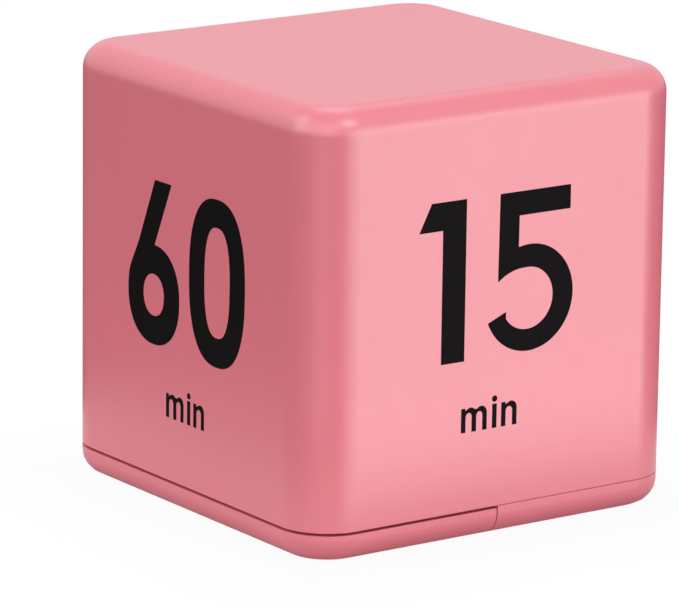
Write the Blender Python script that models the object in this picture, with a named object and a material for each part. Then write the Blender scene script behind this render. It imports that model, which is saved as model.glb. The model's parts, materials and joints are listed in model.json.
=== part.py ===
"""Cube timer: a hollow plastic cube that counts down the minutes printed on the face that is turned up.

Metres, +Z up, origin at the middle of the underside. The cube stands as stored, with the blank face up and the
display, the volume switch and the battery door underneath. The 15 minute face looks along -Y and the 60 minute
face along -X. The shell is one deep moulding, closed from below by the base chassis on the +X side and by the
sliding battery door on the -X side.
"""

import math

import bmesh
import bpy
from mathutils import Matrix, Vector

MM = 0.001
QUARTER = math.pi / 2

# The cube
CUBE_SIDE = 66.0 * MM
EDGE_RADIUS = 7.8 * MM  # the four upright edges
TOP_RADIUS = 4.0 * MM  # the edges round the top
UNDER_RADIUS = 3.6 * MM  # the edges round the underside
WALL = 2.2 * MM
SEAM_HEIGHT = 4.7 * MM  # lower edge of the shell
FLOOR = 2.0 * MM  # thickness of the base and of the door
SEAT_GAP = 0.3 * MM  # between pieces that rest on each other
FIT_GAP = 0.2 * MM  # round pieces that slide or drop into a place
OVERRUN = 1.0 * MM  # how far a cutter runs past a face
MERGE = 0.0001 * MM

# Base chassis
BASE_SEAM_GAP = 0.12 * MM
BASE_WALL = 3.9 * MM
LIP_WALL = 1.2 * MM
LIP_RISE = 3.3 * MM  # above the seam
LIP_ROOT = 1.2 * MM  # below the seam
DECK = 1.5 * MM
RIB = 1.2 * MM

# Battery door
DOOR_SEAM_GAP = 0.3 * MM
DOOR_EDGE_X = -0.43 * MM
DOOR_SIDE_GAP = 0.18 * MM
DOOR_CORNER_RADIUS = 0.5 * MM
DOOR_WALL = 2.0 * MM
RAIL_REACH = 1.6 * MM
RAIL_THICKNESS = 0.9 * MM
HOOK_LEG = 1.2 * MM
HOOK_FOOT = 1.0 * MM
HOOK_LENGTH = 5.0 * MM
HOOK_SHARES = (0.24, 0.76)  # along the door
TONGUE_WIDTH = 12.0 * MM
TONGUE_REACH = 2.8 * MM
TONGUE_ROOT = 3.0 * MM
TONGUE = 1.0 * MM
GRIP_LENGTH = 14.0 * MM
GRIP_WIDTH = 0.9 * MM
GRIP_DEPTH = 0.5 * MM
GRIP_PITCH = 2.0 * MM
GRIP_COUNT = 5
GRIP_EDGE = 8.0 * MM  # from the outer face of the door to the first groove

# Two AAA cells, side by side
CELL_DIAMETER = 10.5 * MM
CELL_LENGTH = 44.5 * MM
CELL_NUB_DIAMETER = 3.6 * MM
CELL_NUB_HEIGHT = 0.9 * MM
CELL_EDGE = 0.5 * MM
CELL_UNDER = 0.6 * MM
BAY_LEDGE = 3.7 * MM  # from the bay to the inner edge of the door
BAY_WALL = 1.0 * MM
DIVIDER = 1.6 * MM
DIVIDER_DEPTH = 2.2 * MM

# Battery contacts
CONTACT = 0.4 * MM
CONTACT_INSET = 0.6 * MM  # from the sides of a cell to the sides of its plate
CONTACT_SHORT = 0.95 * MM  # from the top and the bottom of a cell to those of its plate
BUTTON_DIAMETER = 4.0 * MM
BUTTON_HEIGHT = 0.5 * MM
TAB_WIDTH = 3.0 * MM
TAB_RISE = 2.6 * MM
TAB_CLEARANCE = 0.4 * MM
SPRING_LENGTH = 2.6 * MM
SPRING_WIRE = 0.5 * MM
SPRING_INSET = 1.55 * MM  # from the side of a cell to the widest turn
SPRING_TIP_DIAMETER = 3.4 * MM
SPRING_TURNS = 3
SPRING_POINTS = 10  # in each turn
GUIDE_WIDTH = 1.7 * MM
GUIDE_THICKNESS = 0.6 * MM
GUIDE_LENGTH = 5.0 * MM

# Screws
SCREW_DIAMETER = 2.0 * MM
SCREW_LENGTH = 8.0 * MM
SCREW_HEAD_DIAMETER = 3.4 * MM
SCREW_HEAD_HEIGHT = 1.3 * MM
SCREW_EDGE = 0.4 * MM
SCREW_TIP = 0.7 * MM
SCREW_CLEARANCE = 0.15 * MM
SCREW_SEAT = 1.5 * MM
SCREW_INSET = 8.2 * MM  # from the outer faces to the screws on the base side
SLOT_WIDTH = 0.5 * MM
SLOT_DEPTH = 0.6 * MM
BOSS_DIAMETER = 4.2 * MM
BOSS_DEPTH = 10.0 * MM
WELL_WALL = 1.2 * MM
EAR_LENGTH = 6.4 * MM
BOARD_SCREW_LENGTH = 4.0 * MM

# Display
GLASS_X = 16.4 * MM
GLASS_Y = 28.0 * MM
GLASS = 1.1 * MM
GLASS_LEDGE = 2.6 * MM  # strip of the front glass that carries the contacts
REFLECTOR = 0.2 * MM
DISPLAY_X = 14.4 * MM
VIEW_BORDER = 1.9 * MM
WINDOW_BORDER = 0.9 * MM
WINDOW = 1.0 * MM
WINDOW_SINK = 0.2 * MM
WINDOW_CORNER = 1.5 * MM
STRIP_WIDTH = 1.9 * MM
STRIP_SHORT = 1.0 * MM  # each end of the strip stops this far from the end of the glass
FRAME_RIB = 1.0 * MM
FRAME_HEIGHT = 4.0 * MM

# Circuit board and what stands on it
BOARD = 1.2 * MM
BOARD_EDGE = 1.0 * MM
BOARD_NOTCH = 0.6 * MM
POST_DIAMETER = 4.2 * MM
POST_INSET = 3.4 * MM
CHIP_DIAMETER = 10.0 * MM
CHIP_HEIGHT = 1.8 * MM
CRYSTAL_DIAMETER = 2.0 * MM
CRYSTAL_LENGTH = 6.0 * MM
CAPACITOR_DIAMETER = 5.0 * MM
CAPACITOR_HEIGHT = 7.0 * MM
CAPACITOR_GROOVE = 0.35 * MM
COIL_DIAMETER = 6.0 * MM
COIL_HEIGHT = 5.0 * MM
COIL_FLANGE = 0.8 * MM
COIL_WAIST = 4.2 * MM
TRANSISTOR_X = 3.0 * MM
TRANSISTOR_Y = 1.6 * MM
TRANSISTOR_Z = 1.1 * MM
RESISTOR_X = 2.0 * MM
RESISTOR_Y = 1.25 * MM
RESISTOR_Z = 0.6 * MM

# Tilt switches: a ball that rolls along a small metal can
TILT_DIAMETER = 4.0 * MM
TILT_LENGTH = 8.6 * MM
TILT_WALL = 0.4 * MM
TILT_FROM_CENTRE = 2.6 * MM
BALL_DIAMETER = 2.8 * MM
BALL_TRAVEL = 2.2 * MM
PIN_DIAMETER = 0.7 * MM
PIN_REACH = 0.8 * MM

# Volume switch
KNOB_X = 11.6 * MM  # at the off end of its travel
KNOB_Y = -20.4 * MM
KNOB_LENGTH = 4.0 * MM
KNOB_WIDTH = 3.6 * MM
KNOB_TRAVEL = 4.0 * MM
KNOB_SINK = 0.4 * MM  # below the underside of the cube
KNOB_FLANGE = 0.8 * MM
KNOB_FLANGE_BORDER = 0.8 * MM
KNOB_GROOVE = 0.5 * MM
KNOB_GROOVES = 3
SOCKET_WALL = 0.8 * MM
SOCKET_HEIGHT = 1.3 * MM
SOCKET_DEPTH = 1.0 * MM
LEVER_LENGTH = 1.6 * MM
LEVER_WIDTH = 1.2 * MM
LEVER_FOOT = 0.6 * MM
LEVER_FOOT_BORDER = 0.7 * MM
SWITCH_LENGTH = 11.0 * MM
SWITCH_WIDTH = 4.6 * MM
SWITCH_HEIGHT = 3.2 * MM
SWITCH_WALL = 0.5 * MM

# Buzzer and the sound holes under it
BUZZER_Y = 21.7 * MM
BUZZER_DIAMETER = 12.0 * MM
BUZZER_HEIGHT = 5.2 * MM
BUZZER_WALL = 0.7 * MM
BUZZER_PORT = 3.0 * MM
BUZZER_LEDGE = 0.9 * MM
BUZZER_LEDGE_RISE = 1.2 * MM
BUZZER_DISC = 0.4 * MM
SOUND_HOLE = 1.3 * MM
SOUND_RING = 2.6 * MM
SOUND_HOLES = 6

# Battery leads
LEAD_DIAMETER = 1.1 * MM
LEAD_LIFT = 3.0 * MM
LEAD_PAD_IN = 3.5 * MM  # from the edge of the board to the pads
LEAD_PAD_PITCH = 3.0 * MM
LEAD_STEPS = 5  # between two knots of its route

# Printed minutes, sunk as deep as the ink is thick
DIGIT_HEIGHT = 23.8 * MM
WORD_HEIGHT = 3.6 * MM  # height of the m
WORD_DROP = 10.65 * MM  # from the foot of the digits to the foot of the word
INK = 0.1 * MM
FRONT_FOOT = 27.15 * MM  # height of the digits' feet above the underside
LEFT_FOOT = 24.9 * MM
# One row for each face: quarter turns from the front, the foot of its digits, each digit with its left edge and
# the middle of the word, both as shares of the digits' height.
FACE_SHARES = (
    (0, FRONT_FOOT, (("1", -0.637), ("5", -0.124)), -0.093),
    (-1, LEFT_FOOT, (("6", -0.624), ("0", 0.050)), 0.014),
    (1, FRONT_FOOT, (("3", -0.640), ("0", 0.060)), 0.0),
    (2, FRONT_FOOT, (("5", -0.310),), 0.0),
)
# Outlines of the digits in shares of their height, each a row of corners (across, up) and of arcs (middle across,
# middle up, half width, half height, first angle, last angle, squareness), where 2 is an ellipse.
DIGIT_SHARES = {
    "0": (
        ((0.302, 0.502, 0.302, 0.521, 0, 350, 2.45),),
        ((0.304, 0.506, 0.137, 0.342, 0, 345, 2.55),),
    ),
    "1": (((0.176, 0.0), (0.349, 0.0), (0.349, 1.0), (0.09, 1.0), (0.0, 0.826), (0.176, 0.826)),),
    "3": (
        (
            (0.290, 0.291, 0.310, 0.305, -156, 44, 2.0),
            (0.282, 0.735, 0.272, 0.278, -42, 152, 2.0),
            (0.282, 0.735, 0.124, 0.130, 152, -90, 2.0),
            (0.200, 0.605),
            (0.200, 0.462),
            (0.290, 0.291, 0.160, 0.171, 90, -156, 2.0),
        ),
    ),
    "5": (
        (
            (0.080, 0.456),
            (0.086, 1.0),
            (0.618, 1.0),
            (0.618, 0.851),
            (0.233, 0.851),
            (0.231, 0.656),
            (0.317, 0.334, 0.332, 0.332, 100, -158, 2.0),
            (0.145, 0.265),
            (0.303, 0.332, 0.193, 0.193, -145, 90, 2.0),
            (0.288, 0.179, 0.347, 0.347, 98, 118, 2.0),
        ),
    ),
    "6": (
        (
            (0.294, 1.017),
            (0.477, 1.017),
            (0.292, 0.609),
            (0.284, 0.294, 0.284, 0.315, 80, -203, 2.2),
            (0.120, 0.613),
        ),
        ((0.284, 0.292, 0.114, 0.132, 0, 340, 2.1),),
    ),
}
# The letters of the word in shares of the height of the m.
WORD_SHARES = (
    (
        (0.0, 0.0),
        (0.0, 1.0),
        (0.20, 1.0),
        (0.20, 0.90),
        (0.470, 0.70, 0.28, 0.31, 125, 45, 2.0),
        (0.998, 0.70, 0.28, 0.31, 135, 0, 2.0),
        (1.278, 0.0),
        (1.056, 0.0),
        (0.903, 0.62, 0.153, 0.18, 0, 180, 2.0),
        (0.750, 0.0),
        (0.528, 0.0),
        (0.375, 0.62, 0.153, 0.18, 0, 180, 2.0),
        (0.222, 0.0),
    ),
    ((1.544, 0.0), (1.766, 0.0), (1.766, 1.0), (1.544, 1.0)),
    ((1.655, 1.21, 0.13, 0.13, 0, 315, 2.0),),
    (
        (1.996, 0.0),
        (1.996, 1.0),
        (2.196, 1.0),
        (2.196, 0.90),
        (2.490, 0.70, 0.28, 0.31, 125, 0, 2.0),
        (2.770, 0.0),
        (2.548, 0.0),
        (2.383, 0.62, 0.165, 0.18, 0, 180, 2.0),
        (2.218, 0.0),
    ),
)

# Fineness of the round shapes
CORNER_STEPS = 8
RIM_STEPS = 5
ARC_STEPS = 5  # in each quarter turn of a letter
WIDE_SIDES = 24
ROUND_SIDES = 16
WIRE_SIDES = 6

# Sizes worked out from those above
HALF = CUBE_SIDE / 2
INSIDE = HALF - WALL
CEILING = CUBE_SIDE - WALL
LIP_OUTSIDE = INSIDE - FIT_GAP
LIP_INSIDE = LIP_OUTSIDE - LIP_WALL
LIP_MIDDLE = (LIP_INSIDE + LIP_OUTSIDE) / 2
LIP_TOP = SEAM_HEIGHT + LIP_RISE
BASE_EDGE_X = DOOR_EDGE_X + DOOR_SIDE_GAP
DECK_LOW = SEAM_HEIGHT + SEAT_GAP
DECK_TOP = DECK_LOW + DECK
BAY_RIGHT = DOOR_EDGE_X - BAY_LEDGE
BAY_LEFT = BAY_RIGHT - 2 * CELL_DIAMETER - 3 * SEAT_GAP
BAY_END = (CELL_LENGTH + BUTTON_HEIGHT + SPRING_LENGTH + 2 * CONTACT + 5 * SEAT_GAP) / 2
BAY_MIDDLE = (BAY_LEFT + BAY_RIGHT) / 2
CELL_RIGHT = BAY_RIGHT - SEAT_GAP - CELL_DIAMETER / 2
CELL_LEFT = BAY_LEFT + SEAT_GAP + CELL_DIAMETER / 2
CELL_Z = FLOOR + CELL_UNDER + CELL_DIAMETER / 2
CONTACT_WIDTH = CELL_DIAMETER - 2 * CONTACT_INSET
CONTACT_HEIGHT = CELL_DIAMETER - 2 * CONTACT_SHORT
SPRING_BASE_DIAMETER = CELL_DIAMETER - 2 * SPRING_INSET
BAY_CEILING = CELL_Z + CELL_DIAMETER / 2 + SEAT_GAP
TUB_LEFT = BAY_LEFT - BAY_WALL
TUB_RIGHT = BAY_RIGHT + BAY_WALL
TUB_TOP = BAY_CEILING + BAY_WALL
TUB_END = BAY_END + BAY_WALL
PLATE_Y = BAY_END - SEAT_GAP - CONTACT / 2
UNDERCUT = FLOOR + SEAT_GAP
RAIL_TIP = TUB_END + RAIL_REACH
RAIL_TOP = UNDERCUT + RAIL_THICKNESS
HOOK_IN = RAIL_TIP + SEAT_GAP
HOOK_TOP = RAIL_TOP + SEAT_GAP + HOOK_FOOT
EAR_TOP = DECK_TOP + SCREW_SEAT
BOSS_LOW = EAR_TOP + SEAT_GAP
SHAFT_BORE = SCREW_DIAMETER / 2 + SCREW_CLEARANCE
HEAD_BORE = SCREW_HEAD_DIAMETER / 2 + SCREW_CLEARANCE
SIDE_SCREW_Y = TUB_END + FIT_GAP + BOSS_DIAMETER / 2
CORNER_SCREW = HALF - SCREW_INSET
POST_TOP = LIP_TOP
BOARD_LOW = POST_TOP + SEAT_GAP
BOARD_TOP = BOARD_LOW + BOARD
BOARD_LEFT = TUB_RIGHT + BOARD_EDGE
BOARD_RIGHT = LIP_INSIDE - BOARD_EDGE
ON_BOARD = BOARD_TOP + SEAT_GAP
UNDER_BOARD = BOARD_LOW - SEAT_GAP
ON_FLOOR = FLOOR + SEAT_GAP
CASE_SCREWS = (
    (CORNER_SCREW, -CORNER_SCREW),
    (CORNER_SCREW, CORNER_SCREW),
    (BAY_MIDDLE, -SIDE_SCREW_Y),
    (BAY_MIDDLE, SIDE_SCREW_Y),
)
POST_X = BASE_EDGE_X + POST_INSET
BOARD_SCREWS = ((POST_X, -CORNER_SCREW), (POST_X, CORNER_SCREW), (BOARD_RIGHT + BOARD_EDGE - POST_INSET, 0.0))
FRONT_GLASS_TOP = ON_FLOOR + GLASS
REAR_GLASS_TOP = FRONT_GLASS_TOP + SEAT_GAP + GLASS
DISPLAY_LEFT = DISPLAY_X - GLASS_X / 2
TILT_REACH = TILT_FROM_CENTRE + TILT_LENGTH
TILT_X = DISPLAY_X - FRAME_RIB
TILT_Y = -CHIP_DIAMETER
CHIP_Y = TILT_Y + TILT_REACH + TILT_WALL + CHIP_DIAMETER / 2 + BALL_DIAMETER
LEAD_PAD_X = BOARD_LEFT + LEAD_PAD_IN
LEAD_PAD_Y = TILT_Y - TILT_DIAMETER / 2 - 2 * LEAD_PAD_PITCH

# Colour, roughness and metallic value of each finish
FINISHES = {
    "pink_plastic": ((0.80, 0.34, 0.40), 0.42, 0.0),
    "black_plastic": ((0.02, 0.02, 0.022), 0.45, 0.0),
    "clear_plastic": ((0.78, 0.82, 0.80), 0.08, 0.0),
    "display_glass": ((0.42, 0.47, 0.40), 0.15, 0.0),
    "foil": ((0.72, 0.72, 0.70), 0.35, 1.0),
    "contact_rubber": ((0.55, 0.40, 0.38), 0.7, 0.0),
    "board_green": ((0.02, 0.16, 0.07), 0.5, 0.0),
    "chip_part": ((0.03, 0.03, 0.03), 0.35, 0.0),
    "nickel": ((0.62, 0.60, 0.55), 0.28, 1.0),
    "brass": ((0.70, 0.50, 0.20), 0.35, 1.0),
    "steel": ((0.55, 0.55, 0.56), 0.32, 1.0),
    "copper": ((0.62, 0.28, 0.12), 0.35, 1.0),
    "cell_label": ((0.10, 0.17, 0.22), 0.35, 0.6),
    "red_sleeve": ((0.55, 0.03, 0.02), 0.5, 0.0),
    "black_sleeve": ((0.02, 0.02, 0.02), 0.5, 0.0),
}


def clear_scene():
    for old in list(bpy.data.objects):
        bpy.data.objects.remove(old)


def finish_material(name):
    """The named finish as a material, made once."""
    if name in bpy.data.materials:
        return bpy.data.materials[name]
    colour, roughness, metallic = FINISHES[name]
    material = bpy.data.materials.new(name)
    material.use_nodes = True
    shader = material.node_tree.nodes["Principled BSDF"]
    shader.inputs["Base Color"].default_value = (*colour, 1.0)
    shader.inputs["Roughness"].default_value = roughness
    shader.inputs["Metallic"].default_value = metallic
    return material


def closed_object(shape, name, finish):
    """Turns a bmesh into an object, with its doubles merged and its faces pointing out."""
    bmesh.ops.remove_doubles(shape, verts=shape.verts, dist=MERGE)
    bmesh.ops.recalc_face_normals(shape, faces=shape.faces)
    mesh = bpy.data.meshes.new(name)
    shape.to_mesh(mesh)
    shape.free()
    mesh.materials.append(finish_material(finish))
    made = bpy.data.objects.new(name, mesh)
    bpy.context.scene.collection.objects.link(made)
    return made


def place(made, location, turn=(0.0, 0.0, 0.0)):
    made.location = location
    made.rotation_euler = turn
    return made


def smooth(made):
    """Shades the round faces smooth and leaves the corners sharp."""
    made.data.shade_smooth()
    made.data.set_sharp_from_angle(angle=QUARTER / 3)
    return made


def loft(rings, name="loft", finish="pink_plastic", ends=True):
    """A closed body through rings of equally many points, with flat ends or with its last ring joined to its first."""
    shape = bmesh.new()
    loops = [[shape.verts.new(point) for point in ring] for ring in rings]
    pairs = list(zip(loops, loops[1:]))
    if ends:
        shape.faces.new(loops[0])
        shape.faces.new(loops[-1])
    else:
        pairs.append((loops[-1], loops[0]))
    for low, high in pairs:
        for index in range(len(low)):
            after = (index + 1) % len(low)
            shape.faces.new((low[index], low[after], high[after], high[index]))
    return closed_object(shape, name, finish)


def block(x, y, z, name="block", finish="pink_plastic"):
    """A box from its low and high values along each axis."""
    rings = []
    for height in z:
        corners = ((x[0], y[0]), (x[1], y[0]), (x[1], y[1]), (x[0], y[1]))
        rings.append([Vector((across, along, height)) for across, along in corners])
    return loft(rings, name, finish)


def block_at(middle, size, low, name="block", finish="pink_plastic"):
    """A box over a middle in plan, with a size (x, y, z), that stands on a height."""
    x = (middle[0] - size[0] / 2, middle[0] + size[0] / 2)
    y = (middle[1] - size[1] / 2, middle[1] + size[1] / 2)
    return block(x, y, (low, low + size[2]), name, finish)


def lathe(profile, name="lathe", finish="pink_plastic", hollow=False, sides=ROUND_SIDES):
    """A body turned round Z from (radius, height) pairs. A hollow one joins its last pair to its first."""
    rings = []
    for radius, height in profile:
        angles = [2 * math.pi * (side + 1 / 2) / sides for side in range(sides)]
        rings.append([Vector((radius * math.cos(a), radius * math.sin(a), height)) for a in angles])
    return loft(rings, name, finish, ends=not hollow)


def rod(x, y, low, high, radius, sides=ROUND_SIDES):
    return place(lathe([(radius, low), (radius, high)], sides=sides), (x, y, 0.0))


def tube(points, radius, name, finish):
    """A round wire along points, with flat ends."""
    rings = []
    side = None
    for index, point in enumerate(points):
        ahead = points[min(index + 1, len(points) - 1)] - points[max(index - 1, 0)]
        ahead.normalize()
        if side is None:
            side = ahead.orthogonal()
        side = (side - ahead * side.dot(ahead)).normalized()
        across = ahead.cross(side)
        ring = []
        for step in range(WIRE_SIDES):
            angle = 2 * math.pi * step / WIRE_SIDES
            ring.append(point + radius * (side * math.cos(angle) + across * math.sin(angle)))
        rings.append(ring)
    return loft(rings, name, finish)


def smooth_route(knots, steps):
    """Points of a smooth curve that passes through all the knots."""
    knots = [Vector(knot) for knot in knots]
    padded = [2 * knots[0] - knots[1], *knots, 2 * knots[-1] - knots[-2]]
    points = [knots[0]]
    for a, b, c, d in zip(padded, padded[1:], padded[2:], padded[3:]):
        for step in range(1, steps + 1):
            t = step / steps
            bend = (2 * a - 5 * b + 4 * c - d) * t**2 + (3 * b - a - 3 * c + d) * t**3
            points.append((2 * b + (c - a) * t + bend) / 2)
    return points


def combine(target, tools, operation):
    """Joins tools to a target or takes them from it, and removes them."""
    for tool in tools:
        modifier = target.modifiers.new(operation.lower(), "BOOLEAN")
        modifier.operation = operation
        modifier.solver = "EXACT"
        modifier.object = tool
    bpy.context.view_layer.update()
    graph = bpy.context.evaluated_depsgraph_get()
    mesh = bpy.data.meshes.new_from_object(target.evaluated_get(graph))
    target.modifiers.clear()
    while len(mesh.materials) > 1:
        mesh.materials.pop()
    mesh.name = target.name
    target.data = mesh
    for tool in tools:
        bpy.data.objects.remove(tool)
    return target


def join(target, *tools):
    return combine(target, tools, "UNION")


def cut(target, *tools):
    return combine(target, tools, "DIFFERENCE")


def rounded_ring(half_x, half_y, radius, height, middle=(0.0, 0.0)):
    """Points of a rounded rectangle round a middle, at one height."""
    points = []
    for corner, (side_x, side_y) in enumerate(((1, 1), (-1, 1), (-1, -1), (1, -1))):
        for step in range(CORNER_STEPS + 1):
            angle = QUARTER * (corner + step / CORNER_STEPS)
            x = middle[0] + side_x * (half_x - radius) + radius * math.cos(angle)
            y = middle[1] + side_y * (half_y - radius) + radius * math.sin(angle)
            points.append(Vector((x, y, height)))
    return points


def square_ring(half, height):
    """A ring that keeps to the rounded outline of the cube, set in to a half width."""
    return rounded_ring(half, half, EDGE_RADIUS - (HALF - half), height)


def rim_rings(half, rim, flat_height, upward):
    """Rings of a rounded edge, from the upright wall to the flat face that it turns into."""
    rings = []
    for step in range(RIM_STEPS + 1):
        angle = QUARTER * step / RIM_STEPS
        inset = rim * (1 - math.cos(angle))
        height = flat_height - upward * rim * (1 - math.sin(angle))
        rings.append(square_ring(half - inset, height))
    return rings


def trace(row, scale, left, foot):
    """Points (across, up) of one outline, from its corners and arcs in shares of a height."""
    points = []
    for piece in row:
        if len(piece) == 2:
            points.append(piece)
            continue
        middle_x, middle_z, half_x, half_z, first, last, squareness = piece
        count = max(2, round(abs(last - first) / 90 * ARC_STEPS))
        for step in range(count + 1):
            angle = math.radians(first + (last - first) * step / count)
            across, up = math.cos(angle), math.sin(angle)
            x = middle_x + half_x * math.copysign(abs(across) ** (2 / squareness), across)
            z = middle_z + half_z * math.copysign(abs(up) ** (2 / squareness), up)
            points.append((x, z))
    return [(left + x * scale, foot + z * scale) for x, z in points]


def face_outlines(foot, digits, word_middle):
    """All the outlines that one face carries."""
    outlines = []
    for digit, left in digits:
        outlines += [trace(row, DIGIT_HEIGHT, left * DIGIT_HEIGHT, foot) for row in DIGIT_SHARES[digit]]
    width = WORD_SHARES[-1][-4][0] * WORD_HEIGHT
    left = word_middle * DIGIT_HEIGHT - width / 2
    outlines += [trace(row, WORD_HEIGHT, left, foot - WORD_DROP) for row in WORD_SHARES]
    return outlines


def print_cutter(quarter_turns, foot, digits, word_middle):
    """Solid letters that reach from outside a face down to the depth of the ink."""
    curve = bpy.data.curves.new("print", "CURVE")
    curve.dimensions = "2D"
    curve.fill_mode = "BOTH"
    curve.extrude = OVERRUN
    for outline in face_outlines(foot, digits, word_middle):
        spline = curve.splines.new("POLY")
        spline.points.add(len(outline) - 1)
        for point, (across, up) in zip(spline.points, outline):
            point.co = (across, up, 0.0, 1.0)
        spline.use_cyclic_u = True
    flat = bpy.data.objects.new("print", curve)
    bpy.context.scene.collection.objects.link(flat)
    bpy.context.view_layer.update()
    graph = bpy.context.evaluated_depsgraph_get()
    mesh = bpy.data.meshes.new_from_object(flat.evaluated_get(graph))
    bpy.data.objects.remove(flat)
    shape = bmesh.new()
    shape.from_mesh(mesh)
    turn = Matrix.Rotation(quarter_turns * QUARTER, 4, "Z")
    outward = Matrix.Translation((0.0, INK - OVERRUN - HALF, 0.0))
    upright = Matrix.Rotation(QUARTER, 4, "X")
    bmesh.ops.transform(shape, matrix=turn @ outward @ upright, verts=shape.verts)
    return closed_object(shape, "print_cutter", "pink_plastic")


def boss_web(x, y):
    """The web that ties a screw boss to the shell, slanting into a corner or straight to the nearest wall."""
    if abs(x) == abs(y):
        reach = (INSIDE - abs(x)) * math.sqrt(2) - (EDGE_RADIUS - WALL) * (math.sqrt(2) - 1)
        angle = math.atan2(y, x)
    else:
        reach = INSIDE - abs(y)
        angle = math.copysign(QUARTER, y)
    web = block((0.0, reach + WALL / 4), (-RIB / 2, RIB / 2), (BOSS_LOW, CEILING + WALL / 4))
    return place(web, (x, y, 0.0), (0.0, 0.0, angle))


def shell():
    """The deep five-sided moulding, with its screw bosses and the sunk minutes."""
    outer = [square_ring(HALF, SEAM_HEIGHT)] + rim_rings(HALF, TOP_RADIUS, CUBE_SIDE, 1)
    inner = [square_ring(INSIDE, SEAM_HEIGHT)] + rim_rings(INSIDE, TOP_RADIUS - WALL, CEILING, 1)
    made = loft(outer[::-1] + inner, "shell")
    bosses = []
    bores = []
    for x, y in CASE_SCREWS:
        bosses += [rod(x, y, BOSS_LOW, CEILING + WALL / 4, BOSS_DIAMETER / 2), boss_web(x, y)]
        bores.append(rod(x, y, BOSS_LOW - OVERRUN, BOSS_LOW + BOSS_DEPTH, SHAFT_BORE))
    join(made, *bosses)
    cut(made, *bores)
    cut(made, *[print_cutter(*face) for face in FACE_SHARES])
    return smooth(made)


def pan(name, rim_height, wall):
    """The rounded tray under the whole cube, from which the base and the door are parted."""
    outer = [square_ring(HALF, rim_height)] + rim_rings(HALF, UNDER_RADIUS, 0.0, -1)
    inner = [square_ring(HALF - wall, height) for height in (rim_height, FLOOR)]
    return loft(outer[::-1] + inner, name)


def lip():
    """The wall that locates inside the shell. Over the door it stops at the deck."""
    low, high = SEAM_HEIGHT - LIP_ROOT, LIP_TOP
    walls = ((LIP_OUTSIDE, low), (LIP_OUTSIDE, high), (LIP_INSIDE, high), (LIP_INSIDE, low))
    made = loft([square_ring(half, height) for half, height in walls], ends=False)
    return cut(made, block((-HALF, BASE_EDGE_X), (-HALF, HALF), (0.0, DECK_LOW)))


def deck():
    """The floor over the battery door, and the partition at its inner edge."""
    made = loft([square_ring(LIP_MIDDLE, height) for height in (DECK_LOW, DECK_TOP)])
    cut(made, block((BASE_EDGE_X + RIB, HALF), (-HALF, HALF), (0.0, CEILING)))
    end = (-LIP_MIDDLE, LIP_MIDDLE)
    return join(made, block((BASE_EDGE_X, BASE_EDGE_X + RIB), end, (FLOOR / 2, DECK_LOW + DECK / 2)))


def tub():
    """The outside of the battery bay, with the rails that carry the door."""
    x = (TUB_LEFT, TUB_RIGHT)
    made = block(x, (-TUB_END, TUB_END), (UNDERCUT, TUB_TOP))
    return join(made, block(x, (-RAIL_TIP, RAIL_TIP), (UNDERCUT, RAIL_TOP)))


def bay_cutters():
    """The room of the two cells, less the divider and the guides, and the slots of the two tabs."""
    room = block((BAY_LEFT, BAY_RIGHT), (-BAY_END, BAY_END), (UNDERCUT - OVERRUN, BAY_CEILING))
    divider = CELL_LENGTH / 2 - DIVIDER_DEPTH
    low = BAY_CEILING - DIVIDER_DEPTH
    solids = [block_at((BAY_MIDDLE, 0.0), (DIVIDER, 2 * divider, DIVIDER_DEPTH + OVERRUN), low)]
    guide = BAY_END - 2 * SEAT_GAP - CONTACT
    for end in (-1, 1):
        y = sorted((end * guide, end * (guide - GUIDE_THICKNESS)))
        z = (BAY_CEILING - GUIDE_LENGTH, BAY_CEILING + OVERRUN)
        solids.append(block((BAY_LEFT - OVERRUN, BAY_LEFT + GUIDE_WIDTH), y, z))
        solids.append(block((BAY_RIGHT - GUIDE_WIDTH, BAY_RIGHT + OVERRUN), y, z))
    cut(room, *solids)
    size = (TAB_WIDTH + 2 * TAB_CLEARANCE, CONTACT + 2 * TAB_CLEARANCE, BAY_WALL + 2 * OVERRUN)
    tabs = [block_at((x, -PLATE_Y), size, BAY_CEILING - OVERRUN) for x in (CELL_LEFT, CELL_RIGHT)]
    return [room, *tabs]


def screw_ears():
    """Ears on the deck and wells on the base floor that take the case screws."""
    ears = []
    for x, y in CASE_SCREWS:
        if x > 0:
            ears.append(rod(x, y, FLOOR / 2, EAR_TOP, HEAD_BORE + WELL_WALL))
        else:
            ends = sorted((math.copysign(TUB_END - BAY_WALL / 2, y), math.copysign(LIP_MIDDLE, y)))
            ears.append(block((x - EAR_LENGTH / 2, x + EAR_LENGTH / 2), ends, (DECK_LOW + DECK / 2, EAR_TOP)))
    return ears


def screw_cutters():
    """Head and shaft bores of the case screws, and pilot bores of the board screws."""
    bores = []
    for x, y in CASE_SCREWS:
        bores.append(rod(x, y, -OVERRUN, DECK_TOP, HEAD_BORE))
        bores.append(rod(x, y, DECK_TOP - OVERRUN, EAR_TOP + OVERRUN, SHAFT_BORE))
    for x, y in BOARD_SCREWS:
        bores.append(rod(x, y, POST_TOP - BOARD_SCREW_LENGTH, POST_TOP + OVERRUN, SHAFT_BORE))
    return bores


def window_frame():
    """The rib round the display glass."""
    inner_x = GLASS_X / 2 + FIT_GAP
    inner_y = GLASS_Y / 2 + FIT_GAP
    outer = (2 * (inner_x + FRAME_RIB), 2 * (inner_y + FRAME_RIB), FLOOR / 2 + FRAME_HEIGHT)
    made = block_at((DISPLAY_X, 0.0), outer, FLOOR / 2)
    return cut(made, block_at((DISPLAY_X, 0.0), (2 * inner_x, 2 * inner_y, FRAME_HEIGHT + OVERRUN), FLOOR))


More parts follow.
